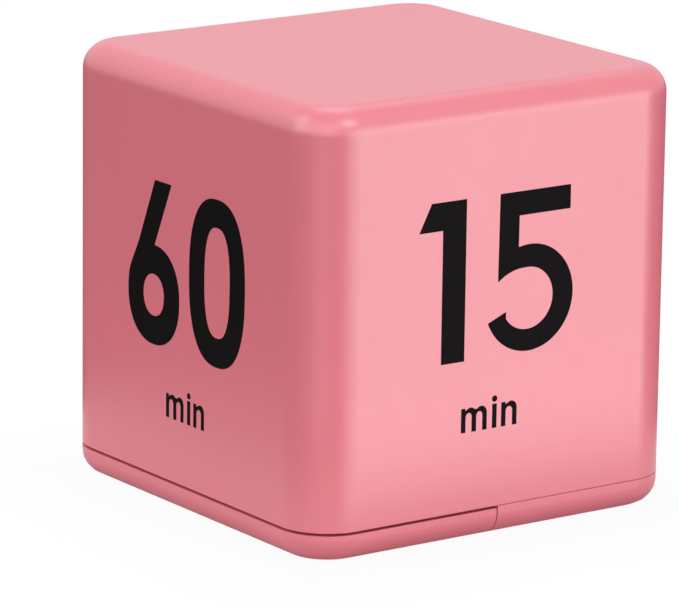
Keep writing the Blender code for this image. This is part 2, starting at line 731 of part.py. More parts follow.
def window_ring(border, height):
    half_x = GLASS_X / 2 - VIEW_BORDER + border
    half_y = GLASS_Y / 2 - VIEW_BORDER + border
    return rounded_ring(half_x, half_y, WINDOW_CORNER, height, (DISPLAY_X, 0.0))


def window_cutters():
    """The opening to the display, and the rebate that takes the window."""
    border = WINDOW_BORDER + FIT_GAP
    rebate = WINDOW_SINK + WINDOW + SEAT_GAP
    opening = loft([window_ring(0.0, height) for height in (-OVERRUN, FLOOR + SEAT_GAP / 2)])
    return [opening, loft([window_ring(border, height) for height in (-OVERRUN, rebate)])]


def knob_slot():
    length = KNOB_LENGTH + KNOB_TRAVEL + 2 * FIT_GAP
    size = (length, KNOB_WIDTH + 2 * FIT_GAP, FLOOR + 2 * OVERRUN)
    return block_at((KNOB_X + KNOB_TRAVEL / 2, KNOB_Y), size, -OVERRUN)


def sound_holes():
    holes = [rod(DISPLAY_X, BUZZER_Y, -OVERRUN, FLOOR + OVERRUN, SOUND_HOLE / 2)]
    for number in range(SOUND_HOLES):
        angle = 2 * math.pi * number / SOUND_HOLES
        x = DISPLAY_X + SOUND_RING * math.cos(angle)
        y = BUZZER_Y + SOUND_RING * math.sin(angle)
        holes.append(rod(x, y, -OVERRUN, FLOOR + OVERRUN, SOUND_HOLE / 2))
    return holes


def tongue_slot():
    """Where the door's tongue rests on the edge of the base."""
    x = (BASE_EDGE_X - OVERRUN, DOOR_EDGE_X + TONGUE_REACH + SEAT_GAP)
    half = TONGUE_WIDTH / 2 + SEAT_GAP
    return block(x, (-half, half), (FLOOR - TONGUE - SEAT_GAP, UNDERCUT))


def base_chassis():
    """The fixed half of the underside, with the deck and the battery bay over the door."""
    made = pan("base_chassis", SEAM_HEIGHT - BASE_SEAM_GAP, BASE_WALL)
    side = (-HALF - OVERRUN, HALF + OVERRUN)
    cut(made, block((-HALF - OVERRUN, BASE_EDGE_X), side, (-OVERRUN, SEAM_HEIGHT)), *sound_holes())
    posts = [rod(x, y, FLOOR / 2, POST_TOP, POST_DIAMETER / 2) for x, y in BOARD_SCREWS]
    join(made, lip(), deck(), tub(), *screw_ears(), *posts, window_frame())
    cut(made, *bay_cutters(), *window_cutters(), knob_slot(), tongue_slot())
    cut(made, *screw_cutters())
    return smooth(made)


def door_edge_cutter():
    """All that lies beyond the inner edge of the door, with a rounded upper corner."""
    rim = SEAM_HEIGHT - DOOR_SEAM_GAP
    start = DOOR_EDGE_X - DOOR_CORNER_RADIUS
    outline = [(start, rim + OVERRUN)]
    for step in range(RIM_STEPS + 1):
        angle = QUARTER * (1 - step / RIM_STEPS)
        x = start + DOOR_CORNER_RADIUS * math.cos(angle)
        outline.append((x, rim - DOOR_CORNER_RADIUS * (1 - math.sin(angle))))
    outline += [(DOOR_EDGE_X, -OVERRUN), (HALF + OVERRUN, -OVERRUN), (HALF + OVERRUN, rim + OVERRUN)]
    return loft([[Vector((x, y, z)) for x, z in outline] for y in (-HALF - OVERRUN, HALF + OVERRUN)])


def door_hooks():
    """Hooks that run over the rails of the battery bay."""
    hooks = []
    for share in HOOK_SHARES:
        x = -HALF + share * (HALF + DOOR_EDGE_X)
        span = (x - HOOK_LENGTH / 2, x + HOOK_LENGTH / 2)
        for side in (-1, 1):
            leg = sorted((side * HOOK_IN, side * (HOOK_IN + HOOK_LEG)))
            foot = sorted((side * (TUB_END + SEAT_GAP), side * (HOOK_IN + HOOK_LEG / 2)))
            hook = block(span, leg, (FLOOR / 2, HOOK_TOP))
            hooks.append(join(hook, block(span, foot, (HOOK_TOP - HOOK_FOOT, HOOK_TOP))))
    return hooks


def battery_door():
    """The half of the underside that slides off along -X."""
    made = pan("battery_door", SEAM_HEIGHT - DOOR_SEAM_GAP, DOOR_WALL)
    cut(made, door_edge_cutter())
    tongue = (DOOR_EDGE_X - TONGUE_ROOT, DOOR_EDGE_X + TONGUE_REACH)
    half = TONGUE_WIDTH / 2
    join(made, block(tongue, (-half, half), (FLOOR - TONGUE, FLOOR)), *door_hooks())
    grooves = []
    for number in range(GRIP_COUNT):
        middle = (-HALF + GRIP_EDGE + GRIP_PITCH * number, 0.0)
        size = (GRIP_WIDTH, GRIP_LENGTH, GRIP_DEPTH + OVERRUN)
        grooves.append(block_at(middle, size, -OVERRUN))
    cut(made, *grooves)
    return smooth(made)


def cell(name, x, toward):
    """One AAA cell, with its raised end at +Y or -Y."""
    radius = CELL_DIAMETER / 2
    nub = CELL_NUB_DIAMETER / 2
    shoulder = CELL_LENGTH - CELL_NUB_HEIGHT
    profile = [
        (radius - CELL_EDGE, 0.0),
        (radius, CELL_EDGE),
        (radius, shoulder - CELL_EDGE),
        (radius - CELL_EDGE, shoulder),
        (nub, shoulder),
        (nub, CELL_LENGTH),
    ]
    made = lathe(profile, name, "cell_label", sides=WIDE_SIDES)
    flat_end = PLATE_Y - CONTACT / 2 - SPRING_LENGTH - 2 * SEAT_GAP
    return smooth(place(made, (x, -toward * flat_end, CELL_Z), (-toward * QUARTER, 0.0, 0.0)))


def plate(name, low_x, high_x, side):
    """A flat contact that stands at one end of the battery bay."""
    y = (side * PLATE_Y - CONTACT / 2, side * PLATE_Y + CONTACT / 2)
    z = (CELL_Z - CONTACT_HEIGHT / 2, CELL_Z + CONTACT_HEIGHT / 2)
    return block((low_x - CONTACT_WIDTH / 2, high_x + CONTACT_WIDTH / 2), y, z, name, "nickel")


def button(x, side):
    """The raised disc that meets the nub of a cell."""
    radius = BUTTON_DIAMETER / 2
    made = lathe([(radius, 0.0), (radius, CONTACT / 2 + BUTTON_HEIGHT)])
    return place(made, (x, side * PLATE_Y, CELL_Z), (side * QUARTER, 0.0, 0.0))


def tab(x):
    """The tab that stands out of the roof of the battery bay, for a lead."""
    return block_at((x, -PLATE_Y), (TAB_WIDTH, CONTACT, TUB_TOP + TAB_RISE - CELL_Z), CELL_Z)


def contact_spring(name, x, side):
    """A coil that narrows from the contact plate to the flat end of a cell."""
    start = side * (PLATE_Y - CONTACT / 2 - SEAT_GAP - SPRING_WIRE / 2)
    end = side * (PLATE_Y - CONTACT / 2 - SEAT_GAP - SPRING_LENGTH + SPRING_WIRE / 2)
    points = []
    for step in range(SPRING_TURNS * SPRING_POINTS + 1):
        share = step / (SPRING_TURNS * SPRING_POINTS)
        radius = (SPRING_BASE_DIAMETER * (1 - share) + SPRING_TIP_DIAMETER * share - SPRING_WIRE) / 2
        angle = 2 * math.pi * step / SPRING_POINTS
        y = start + (end - start) * share
        points.append(Vector((x + radius * math.cos(angle), y, CELL_Z + radius * math.sin(angle))))
    return smooth(tube(points, SPRING_WIRE / 2, name, "nickel"))


def battery_contacts():
    bridge = plate("bridge_plate", CELL_LEFT, CELL_RIGHT, 1)
    join(bridge, button(CELL_LEFT, 1))
    positive = plate("positive_contact", CELL_RIGHT, CELL_RIGHT, -1)
    join(positive, button(CELL_RIGHT, -1), tab(CELL_RIGHT))
    negative = plate("negative_contact", CELL_LEFT, CELL_LEFT, -1)
    join(negative, tab(CELL_LEFT))
    contact_spring("bridge_spring", CELL_RIGHT, 1)
    contact_spring("negative_spring", CELL_LEFT, -1)


def battery_lead(name, finish, x, pad_y):
    """A wire from a tab of the battery bay, over its roof, to a pad on the board."""
    tab_top = TUB_TOP + TAB_RISE
    start_y = -PLATE_Y + CONTACT / 2 + SEAT_GAP
    ride = tab_top + LEAD_LIFT
    pad = (LEAD_PAD_X, pad_y)
    knots = [
        (x, start_y, tab_top - LEAD_DIAMETER),
        (x, start_y + LEAD_LIFT, tab_top),
        ((2 * x + TUB_RIGHT) / 3, (2 * start_y + pad_y) / 3, ride),
        ((x + 2 * TUB_RIGHT) / 3, (start_y + 2 * pad_y) / 3, ride),
        (pad[0], pad[1], ON_BOARD + LEAD_LIFT),
        (pad[0], pad[1], ON_BOARD),
    ]
    return smooth(tube(smooth_route(knots, LEAD_STEPS), LEAD_DIAMETER / 2, name, finish))


def main_board():
    """The circuit board, notched round the shell's bosses."""
    end = LIP_INSIDE - BOARD_EDGE
    made = block((BOARD_LEFT, BOARD_RIGHT), (-end, end), (BOARD_LOW, BOARD_TOP), "main_board", "board_green")
    notch = CORNER_SCREW - BOSS_DIAMETER / 2 - BOARD_NOTCH
    z = (BOARD_LOW - OVERRUN, BOARD_TOP + OVERRUN)
    corners = [block((notch, HALF), sorted((side * notch, side * HALF)), z) for side in (-1, 1)]
    holes = [rod(x, y, z[0], z[1], SHAFT_BORE) for x, y in BOARD_SCREWS]
    return smooth(cut(made, *corners, *holes))


def dome(name, finish, x, y, diameter, height):
    """A drop of resin with a flat underside."""
    profile = []
    for step in range(RIM_STEPS):
        angle = QUARTER * step / RIM_STEPS
        profile.append((diameter / 2 * math.cos(angle), height * math.sin(angle)))
    return smooth(place(lathe(profile, name, finish), (x, y, ON_BOARD)))


def capacitor(name, x, y):
    radius = CAPACITOR_DIAMETER / 2
    groove = CAPACITOR_GROOVE
    profile = [
        (radius, 0.0),
        (radius, 2 * groove),
        (radius - groove, 3 * groove),
        (radius, 4 * groove),
        (radius, CAPACITOR_HEIGHT),
    ]
    return smooth(place(lathe(profile, name, "black_plastic"), (x, y, ON_BOARD)))


def coil(name, x, y):
    radius, waist = COIL_DIAMETER / 2, COIL_WAIST / 2
    profile = [(radius, 0.0), (radius, COIL_FLANGE), (waist, COIL_FLANGE)]
    profile += [(waist, COIL_HEIGHT - COIL_FLANGE), (radius, COIL_HEIGHT - COIL_FLANGE), (radius, COIL_HEIGHT)]
    return smooth(place(lathe(profile, name, "copper"), (x, y, ON_BOARD)))


def crystal(x, y):
    radius = CRYSTAL_DIAMETER / 2
    made = lathe([(radius, 0.0), (radius, CRYSTAL_LENGTH)], "crystal", "nickel")
    return smooth(place(made, (x, y, ON_BOARD + radius), (-QUARTER, 0.0, 0.0)))


def board_parts():
    """The parts between the tilt switches and the far edge of the board."""
    inset = POST_INSET
    far = CORNER_SCREW - CAPACITOR_DIAMETER
    right = BOARD_RIGHT - inset
    dome("chip_blob", "black_plastic", DISPLAY_X, CHIP_Y, CHIP_DIAMETER, CHIP_HEIGHT)
    crystal(right, CHIP_Y - CRYSTAL_LENGTH / 2)
    capacitor("capacitor_1", POST_X, far - POST_DIAMETER / 2)
    capacitor("capacitor_2", POST_X + CAPACITOR_DIAMETER + inset, far + POST_DIAMETER / 2)
    coil("coil", right - (COIL_DIAMETER + TRANSISTOR_X + inset) / 2, far + POST_DIAMETER / 2)
    size = (TRANSISTOR_X, TRANSISTOR_Y, TRANSISTOR_Z)
    block_at((right, far), size, ON_BOARD, "transistor", "chip_part")
    size = (RESISTOR_X, RESISTOR_Y, RESISTOR_Z)
    block_at((POST_X, CHIP_Y), size, ON_BOARD, "resistor_1", "chip_part")
    block_at((POST_X, CHIP_Y - inset), size, ON_BOARD, "resistor_2", "chip_part")


def display():
    """Window, glasses, reflector and contact strip, from outside to inside."""
    heights = (WINDOW_SINK, WINDOW_SINK + WINDOW)
    loft([window_ring(WINDOW_BORDER, height) for height in heights], "display_window", "clear_plastic")
    block_at((DISPLAY_X, 0.0), (GLASS_X, GLASS_Y, GLASS), ON_FLOOR, "lcd_front_glass", "display_glass")
    middle = (DISPLAY_X + GLASS_LEDGE / 2, 0.0)
    size = (GLASS_X - GLASS_LEDGE, GLASS_Y, GLASS)
    block_at(middle, size, FRONT_GLASS_TOP + SEAT_GAP, "lcd_rear_glass", "display_glass")
    size = (GLASS_X - GLASS_LEDGE, GLASS_Y, REFLECTOR)
    block_at(middle, size, REAR_GLASS_TOP + SEAT_GAP, "lcd_reflector", "foil")
    middle = (DISPLAY_LEFT + (GLASS_LEDGE - SEAT_GAP) / 2, 0.0)
    low = FRONT_GLASS_TOP + SEAT_GAP
    size = (STRIP_WIDTH, GLASS_Y - 2 * STRIP_SHORT, UNDER_BOARD - low)
    block_at(middle, size, low, "contact_strip", "contact_rubber")


def buzzer():
    """A round case with a port over the sound holes, and the disc on its ledge."""
    radius = BUZZER_DIAMETER / 2
    inner = radius - BUZZER_WALL
    ledge = ON_FLOOR + BUZZER_WALL + BUZZER_LEDGE_RISE
    profile = [
        (BUZZER_PORT / 2, ON_FLOOR),
        (radius, ON_FLOOR),
        (radius, ON_FLOOR + BUZZER_HEIGHT),
        (inner, ON_FLOOR + BUZZER_HEIGHT),
        (inner, ledge),
        (inner - BUZZER_LEDGE, ledge),
        (inner - BUZZER_LEDGE, ON_FLOOR + BUZZER_WALL),
        (BUZZER_PORT / 2, ON_FLOOR + BUZZER_WALL),
    ]
    case = lathe(profile, "buzzer_case", "black_plastic", hollow=True, sides=WIDE_SIDES)
    smooth(place(case, (DISPLAY_X, BUZZER_Y, 0.0)))
    low = ledge + SEAT_GAP
    disc = [(inner - FIT_GAP, low), (inner - FIT_GAP, low + BUZZER_DISC)]
    disc = lathe(disc, "buzzer_disc", "brass", sides=WIDE_SIDES)
    smooth(place(disc, (DISPLAY_X, BUZZER_Y, 0.0)))


def switch_case():
    """The body of the volume switch under the board, slotted below for its lever."""
    middle = (KNOB_X + KNOB_TRAVEL / 2, KNOB_Y)
    low = UNDER_BOARD - SWITCH_HEIGHT
    made = block_at(middle, (SWITCH_LENGTH, SWITCH_WIDTH, SWITCH_HEIGHT), low, "switch_case", "nickel")
    double = 2 * SWITCH_WALL
    room = (SWITCH_LENGTH - double, SWITCH_WIDTH - double, SWITCH_HEIGHT - double)
    slot = (LEVER_LENGTH + KNOB_TRAVEL + double, LEVER_WIDTH + double, SWITCH_HEIGHT / 2 + OVERRUN)
    return cut(made, block_at(middle, room, low + SWITCH_WALL), block_at(middle, slot, low - OVERRUN))


def volume_knob():
    """The knob that shows underneath, with a flange over its slot and a socket for the lever."""
    middle = (KNOB_X, KNOB_Y)
    made = block_at(middle, (KNOB_LENGTH, KNOB_WIDTH, ON_FLOOR), KNOB_SINK, "volume_knob", "black_plastic")
    length = KNOB_LENGTH + 2 * (KNOB_TRAVEL + FIT_GAP)
    flange = block_at(middle, (length, KNOB_WIDTH + 2 * KNOB_FLANGE_BORDER, KNOB_FLANGE), ON_FLOOR)
    socket = (LEVER_LENGTH + 2 * (FIT_GAP + SOCKET_WALL), LEVER_WIDTH + 2 * (FIT_GAP + SOCKET_WALL))
    top = ON_FLOOR + KNOB_FLANGE + SOCKET_HEIGHT
    block_low = ON_FLOOR + KNOB_FLANGE / 2
    join(made, flange, block_at(middle, (*socket, top - block_low), block_low))
    pocket = (LEVER_LENGTH + 2 * FIT_GAP, LEVER_WIDTH + 2 * FIT_GAP, SOCKET_DEPTH + OVERRUN)
    cutters = [block_at(middle, pocket, top - SOCKET_DEPTH)]
    for number in range(KNOB_GROOVES):
        x = KNOB_X + (number - (KNOB_GROOVES - 1) / 2) * 2 * KNOB_GROOVE
        cutters.append(block_at((x, KNOB_Y), (KNOB_GROOVE, KNOB_WIDTH + OVERRUN, KNOB_GROOVE), KNOB_SINK - KNOB_GROOVE / 2))
    return cut(made, *cutters)


def switch_lever():
    """The lever that the knob carries along inside the switch."""
    middle = (KNOB_X, KNOB_Y)
    bottom = ON_FLOOR + KNOB_FLANGE + SOCKET_HEIGHT - SOCKET_DEPTH + SEAT_GAP
    foot_low = UNDER_BOARD - SWITCH_HEIGHT + SWITCH_WALL + SEAT_GAP
    size = (LEVER_LENGTH, LEVER_WIDTH, foot_low + LEVER_FOOT / 2 - bottom)
    made = block_at(middle, size, bottom, "switch_lever", "black_plastic")
    foot = (LEVER_LENGTH + 2 * LEVER_FOOT_BORDER, LEVER_WIDTH + 2 * LEVER_FOOT_BORDER, LEVER_FOOT)
    return join(made, block_at(middle, foot, foot_low))


def tilt_switch(number, quarter_turns):
    """One can with its plug and its ball, lying on the board along one of four directions."""
    outer, inner = TILT_DIAMETER / 2, TILT_DIAMETER / 2 - TILT_WALL
    turn = Matrix.Rotation(quarter_turns * QUARTER, 4, "Z") @ Matrix.Rotation(QUARTER, 4, "Y")
    middle = Vector((TILT_X, TILT_Y, ON_BOARD + outer))
    start = middle + turn @ Vector((0.0, 0.0, TILT_FROM_CENTRE))
    euler = turn.to_euler()
    profile = [(outer, 0.0), (outer, TILT_LENGTH), (inner, TILT_LENGTH), (inner, TILT_WALL)]
    smooth(place(lathe(profile, f"tilt_can_{number}", "nickel"), start, euler))
    first = TILT_WALL + FIT_GAP + BALL_DIAMETER / 2
    pin = first + BALL_TRAVEL + BALL_DIAMETER / 2 + FIT_GAP
    face = pin + PIN_REACH
    profile = [(inner - FIT_GAP, TILT_LENGTH), (inner - FIT_GAP, face), (PIN_DIAMETER / 2, face), (PIN_DIAMETER / 2, pin)]
    smooth(place(lathe(profile, f"tilt_plug_{number}", "black_plastic"), start, euler))
    radius = BALL_DIAMETER / 2
    angles = [QUARTER * (2 * step + 1) / 8 - QUARTER for step in range(8)]
    profile = [(radius * math.cos(angle), radius * math.sin(angle)) for angle in angles]
    ball = lathe(profile, f"tilt_ball_{number}", "steel", sides=12)
    smooth(place(ball, start + turn @ Vector((0.0, 0.0, first)), euler))


def screw(name, length, location, turn=(0.0, 0.0, 0.0)):
    """A slotted screw that points up from its head, whose seat is at its origin."""
    head, shaft = SCREW_HEAD_DIAMETER / 2, SCREW_DIAMETER / 2
    profile = [
        (head - SCREW_EDGE, -SCREW_HEAD_HEIGHT),
        (head, SCREW_EDGE - SCREW_HEAD_HEIGHT),
        (head, 0.0),
        (shaft, 0.0),
        (shaft, length - SCREW_TIP),
        (shaft - SCREW_TIP / 2, length),
    ]
    made = lathe(profile, name, "steel", sides=12)
    low = -SCREW_HEAD_HEIGHT - OVERRUN
    cut(made, block_at((0.0, 0.0), (2 * SCREW_HEAD_DIAMETER, SLOT_WIDTH, SLOT_DEPTH + OVERRUN), low))
    return smooth(place(made, location, turn))


def build():
    clear_scene()
    shell()
    base_chassis()
    battery_door()
    cell("cell_1", CELL_RIGHT, -1)
    cell("cell_2", CELL_LEFT, 1)
    battery_contacts()
    battery_lead("red_lead", "red_sleeve", CELL_RIGHT, LEAD_PAD_Y)
    battery_lead("black_lead", "black_sleeve", CELL_LEFT, LEAD_PAD_Y + LEAD_PAD_PITCH)
    main_board()
    board_parts()
    display()
    buzzer()
    switch_case()
    volume_knob()
    switch_lever()
    for number in range(4):
        tilt_switch(number + 1, number)
    for number, (x, y) in enumerate(CASE_SCREWS, 1):
        screw(f"case_screw_{number}", SCREW_LENGTH, (x, y, DECK_TOP - SEAT_GAP))
    for number, (x, y) in enumerate(BOARD_SCREWS, 1):
        screw(f"board_screw_{number}", BOARD_SCREW_LENGTH, (x, y, ON_BOARD), (2 * QUARTER, 0.0, 0.0))


build()
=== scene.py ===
"""Cube timer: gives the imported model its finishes, printed minutes and fine pieces, and sets it in a white studio.

Laid out as a Blender add-on and run as a script. Metres, +Z up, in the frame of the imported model.
"""

import json
import math

import bmesh
import bpy
from mathutils import Matrix, Vector

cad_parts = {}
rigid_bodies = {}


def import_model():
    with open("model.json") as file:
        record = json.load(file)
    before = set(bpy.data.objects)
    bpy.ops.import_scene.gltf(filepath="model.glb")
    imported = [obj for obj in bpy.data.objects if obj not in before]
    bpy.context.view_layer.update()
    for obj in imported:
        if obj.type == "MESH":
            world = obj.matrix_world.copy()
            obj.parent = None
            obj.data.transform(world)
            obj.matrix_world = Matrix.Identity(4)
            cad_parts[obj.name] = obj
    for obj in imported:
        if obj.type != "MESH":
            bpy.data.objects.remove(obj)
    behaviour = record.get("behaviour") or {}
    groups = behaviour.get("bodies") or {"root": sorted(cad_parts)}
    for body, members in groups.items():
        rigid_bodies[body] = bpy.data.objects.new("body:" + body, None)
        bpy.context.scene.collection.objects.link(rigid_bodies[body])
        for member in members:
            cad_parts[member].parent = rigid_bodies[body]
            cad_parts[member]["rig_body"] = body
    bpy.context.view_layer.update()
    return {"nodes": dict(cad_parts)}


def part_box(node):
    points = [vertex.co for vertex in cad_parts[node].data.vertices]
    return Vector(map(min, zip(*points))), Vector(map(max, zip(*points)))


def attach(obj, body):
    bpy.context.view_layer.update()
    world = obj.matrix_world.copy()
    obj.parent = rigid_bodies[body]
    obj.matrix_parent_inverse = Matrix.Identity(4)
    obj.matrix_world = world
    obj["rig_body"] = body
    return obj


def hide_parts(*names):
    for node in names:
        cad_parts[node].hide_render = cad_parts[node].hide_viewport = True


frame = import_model()

bl_info = {
    "name": "Cube timer",
    "version": (1, 0, 0),
    "blender": (4, 5, 0),
    "location": "View3D > Sidebar > Cube timer",
    "description": "Makes a cube timer with printed minutes, piece by piece",
    "category": "Object",
}

MM = 0.001
QUARTER = math.pi / 2
MERGE = 0.0001 * MM
CREASE = math.radians(50)

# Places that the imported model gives
SHELL_LOW, SHELL_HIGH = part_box("shell")
HALF = SHELL_HIGH.x
SEAM = SHELL_LOW.z
HEIGHT = SHELL_HIGH.z
BOARD_LOW, BOARD_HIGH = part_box("main_board")
UP = Vector((0.0, 0.0, 1.0))

# Sizes that no setting changes
TABLE = 66 * MM  # half the table's width
TABLE_DROP = 0.05 * MM  # from the underside to the table
UNDER_INSET = 4 * MM  # from the cube's side to the light under it
NEAR = 0.6 * MM  # rays shorter than this start at a piece that stands on the table
FLAT = 0.02 * MM  # how far the flat underside may lie from zero
SKIN = 0.08 * MM  # how far a face of the rounded skin may lie from it
SKIN_TURN = 0.97  # cosine of the most that such a face may lean from it
WINDOW_RIM = 0.9 * MM
BOSS_REACH = 0.8  # share of the wall that a boss stops short of the top
WEB_HALF = 0.6 * MM
CORNER_WEB = 0.937  # share that is left of the reach of a web into a corner
KNOB_STEP = 2 * MM
WORD_GAP = 2.6 * MM  # from the knob to the middle of the words beside it
WORD_SIZE = 1.7 * MM
SOLDER_STEP = 1.25 * MM  # from the middle of a part to each of its joints
WINDING_RADIUS = 2.05 * MM
CAP_WIDTH = 0.35 * MM
CAP_LAP = 0.02 * MM
TILT_START = 2.6 * MM  # from the middle of the cross to the closed end of a can
SCREW_HEAD = 1.3 * MM
LEAD_GAP = 1.0 * MM  # from the board's edge to the point where the leads bend down to it
LEAD_INSET = 0.70 * MM  # from the outer face of a tab to the start of its lead
LEAD_BEND = 3.0 * MM
LEAD_SINK = 0.2 * MM  # how far a lead goes into its solder
DIGITS_ALONG = (-8.7, -3.4, 3.4, 8.7)  # middles of the display's digits, in millimetres
SEGMENT_ROW, SEGMENT_COLUMN = 3.5, 1.75  # from a digit's middle to its outer segments

CAMERA_ANGLES = (35.36, 13.87, 0.75)  # to the right, down and over, in degrees
CAMERA_LENS = 276.5
CAMERA_PLACE = (-0.4392, -0.6113, 0.2136)
# Each lamp's degrees from the front and above the horizon, its width and its height. The first word of its name is
# its strength among the studio's settings.
LAMPS = (
    ("panel", 36, -5, 0.36, 0.70),
    ("wing", 12, -2, 0.42, 0.60),
    ("front_box", 12, 44, 0.30, 0.30),
    ("side_box", -114, 45, 0.30, 0.30),
    ("back_box", 136, 65, 0.50, 0.50),
    ("bounce_card", -100, 20, 0.40, 0.40),
    ("fill_card", -50, 24, 1.00, 0.90),
    ("low_card", -52, -25, 0.35, 0.22),
)

# One row for each printed face: quarter turns from the front, its digits, each with its left edge, and the middle
# of its word, as shares of the digits' height. The left face sits a little lower than the others.
FACES = (
    (0, (("1", -0.637), ("5", -0.124)), -0.093),
    (-1, (("6", -0.624), ("0", 0.050)), 0.014),
    (1, (("3", -0.640), ("0", 0.060)), 0.0),
    (2, (("5", -0.310),), 0.0),
)
# Outlines in shares of the height: corners (across, up) and arcs (middle across, middle up, half width, half height,
# first angle, last angle, squareness), where 2 is an ellipse.
DIGITS = {
    "0": (((0.302, 0.502, 0.302, 0.521, 0, 350, 2.45),), ((0.304, 0.506, 0.137, 0.342, 0, 345, 2.55),)),
    "1": (((0.176, 0.0), (0.349, 0.0), (0.349, 1.0), (0.09, 1.0), (0.0, 0.826), (0.176, 0.826)),),
    "3": ((
        (0.290, 0.291, 0.310, 0.305, -156, 44, 2.0), (0.282, 0.735, 0.272, 0.278, -42, 152, 2.0),
        (0.282, 0.735, 0.124, 0.130, 152, -90, 2.0), (0.200, 0.605), (0.200, 0.462),
        (0.290, 0.291, 0.160, 0.171, 90, -156, 2.0),
    ),),
    "5": ((
        (0.080, 0.456), (0.086, 1.0), (0.618, 1.0), (0.618, 0.851), (0.233, 0.851), (0.231, 0.656),
        (0.317, 0.334, 0.332, 0.332, 100, -158, 2.0), (0.145, 0.265), (0.303, 0.332, 0.193, 0.193, -145, 90, 2.0),
        (0.288, 0.179, 0.347, 0.347, 98, 118, 2.0),
    ),),
    "6": (
        ((0.294, 1.017), (0.477, 1.017), (0.292, 0.609), (0.284, 0.294, 0.284, 0.315, 80, -203, 2.2), (0.120, 0.613)),
        ((0.284, 0.292, 0.114, 0.132, 0, 340, 2.1),),
    ),
}
WORD = (
    (
        (0.0, 0.0), (0.0, 1.0), (0.20, 1.0), (0.20, 0.90), (0.470, 0.70, 0.28, 0.31, 125, 45, 2.0),
        (0.998, 0.70, 0.28, 0.31, 135, 0, 2.0), (1.278, 0.0), (1.056, 0.0), (0.903, 0.62, 0.153, 0.18, 0, 180, 2.0),
        (0.750, 0.0), (0.528, 0.0), (0.375, 0.62, 0.153, 0.18, 0, 180, 2.0), (0.222, 0.0),
    ),
    ((1.544, 0.0), (1.766, 0.0), (1.766, 1.0), (1.544, 1.0)),
    ((1.655, 1.21, 0.13, 0.13, 0, 345, 2.0),),
    (
        (1.996, 0.0), (1.996, 1.0), (2.196, 1.0), (2.196, 0.90), (2.490, 0.70, 0.28, 0.31, 125, 0, 2.0),
        (2.770, 0.0), (2.548, 0.0), (2.383, 0.62, 0.165, 0.18, 0, 180, 2.0), (2.218, 0.0),
    ),
)
WORD_WIDTH = 2.770


def length(name, description, millimetres):
    return bpy.props.FloatProperty(
        name=name, description=description, default=millimetres * MM, min=0.0, precision=6, unit="LENGTH"
    )


def count(name, description, number):
    return bpy.props.IntProperty(name=name, description=description, default=number, min=1)


def colour(name, description, *shares):
    return bpy.props.FloatVectorProperty(
        name=name, description=description, default=shares, size=3, min=0.0, max=1.0, subtype="COLOR"
    )


def strength(name, description, number):
    return bpy.props.FloatProperty(name=name, description=description, default=number, min=0.0)


class CubeTimerSizes(bpy.types.PropertyGroup):
    """Sizes of the shell, the print and the fine pieces."""

    edge_radius: length("Upright edges", "Radius of the four upright edges", 7.8)
    top_radius: length("Top edges", "Radius of the edges round the top", 4.0)
    under_radius: length("Under edges", "Radius of the edges round the underside", 3.6)
    wall: length("Wall", "Thickness of the shell", 2.2)
    seam_softness: length("Seam softness", "Bevel of the shell's lower edge", 0.06)
    base_seam: length("Base seam", "Gap between the shell and the fixed base", 0.06)
    door_seam: length("Door seam", "Gap between the shell and the battery door", 0.40)
    corner_steps: count("Corner steps", "Facets round an upright edge", 28)
    rim_steps: count("Rim steps", "Facets round a top edge", 14)
    ink: length("Ink", "How far the print stands on the shell", 0.02)
    digit_height: length("Digit height", "Height of the printed digits", 23.8)
    word_height: length("Word height", "Height of the letter m", 3.6)
    word_drop: length("Word drop", "From the foot of the digits to the foot of the word", 10.65)
    foot: length("Foot", "Height of the digits' feet above the underside", 27.15)
    left_foot: length("Left foot", "The same on the left face", 24.9)
    boss_depth: length("Boss depth", "Depth of the bores in the shell's screw bosses", 10.0)
    engraving: length("Engraving", "Depth of the marks under the cube", 0.3)
    cell_wrap: length("Cell wrap", "How far the label stops short of each end of a cell", 0.8)
    spring_wire: length("Spring wire", "Thickness of the contact springs' wire", 0.5)
    spring_turns: count("Spring turns", "Turns of each contact spring", 3)
    winding_wire: length("Winding wire", "Thickness of the coil's wire", 0.26)
    lead: length("Lead", "Thickness of the battery leads", 1.1)
    thread_pitch: length("Thread pitch", "Distance between the threads of a screw", 0.55)


class CubeTimerColours(bpy.types.PropertyGroup):
    """Colours of the finishes."""

    plastic: colour("Plastic", "Shell, base and battery door", 0.72, 0.17, 0.215)
    ink: colour("Ink", "Printed minutes", 0.006, 0.005, 0.005)
    dark_plastic: colour("Dark plastic", "Knob, buzzer and plugs", 0.022, 0.022, 0.024)
    display: colour("Display", "Display glass with the timer off", 0.37, 0.41, 0.34)
    board: colour("Board", "Mask of the circuit board", 0.012, 0.115, 0.045)
    label: colour("Label", "Label of the cells", 0.035, 0.085, 0.16)
    backdrop: colour("Backdrop", "Table and background", 1.0, 1.0, 1.0)
    table: colour("Table", "The table where it lights the cube", 0.6, 0.6, 0.6)


class CubeTimerStudio(bpy.types.PropertyGroup):
    """Strengths of the lamps."""

    world: strength("World", "Even light from above the horizon", 0.25)
    horizon: strength("Below the horizon", "Share of the world's light that comes from below", 0.1)
    panel: strength("Panel", "Tall softbox at the front right, reaching below the table", 13.3)
    wing: strength("Wing", "Tall softbox beside it, nearer the middle", 8.5)
    front: strength("Front", "Softbox over the near corner", 28.0)
    side: strength("Side", "Softbox high at the left", 15.0)
    back: strength("Back", "Softbox high behind", 7.0)
    bounce: strength("Bounce", "Large card at the left", 11.0)
    fill: strength("Fill", "Large card at the front left", 4.8)
    low: strength("Low card", "Small card below the near corner", 8.0)
    rear: strength("Rear", "Even light from behind, which gloss doesn't show", 0.9)
    glow: strength("Table glow", "Share of the table's white that doesn't depend on the lamps", 0.95)
    under: strength("Under glow", "The same for the light under the cube", 0.8)


# Node trees


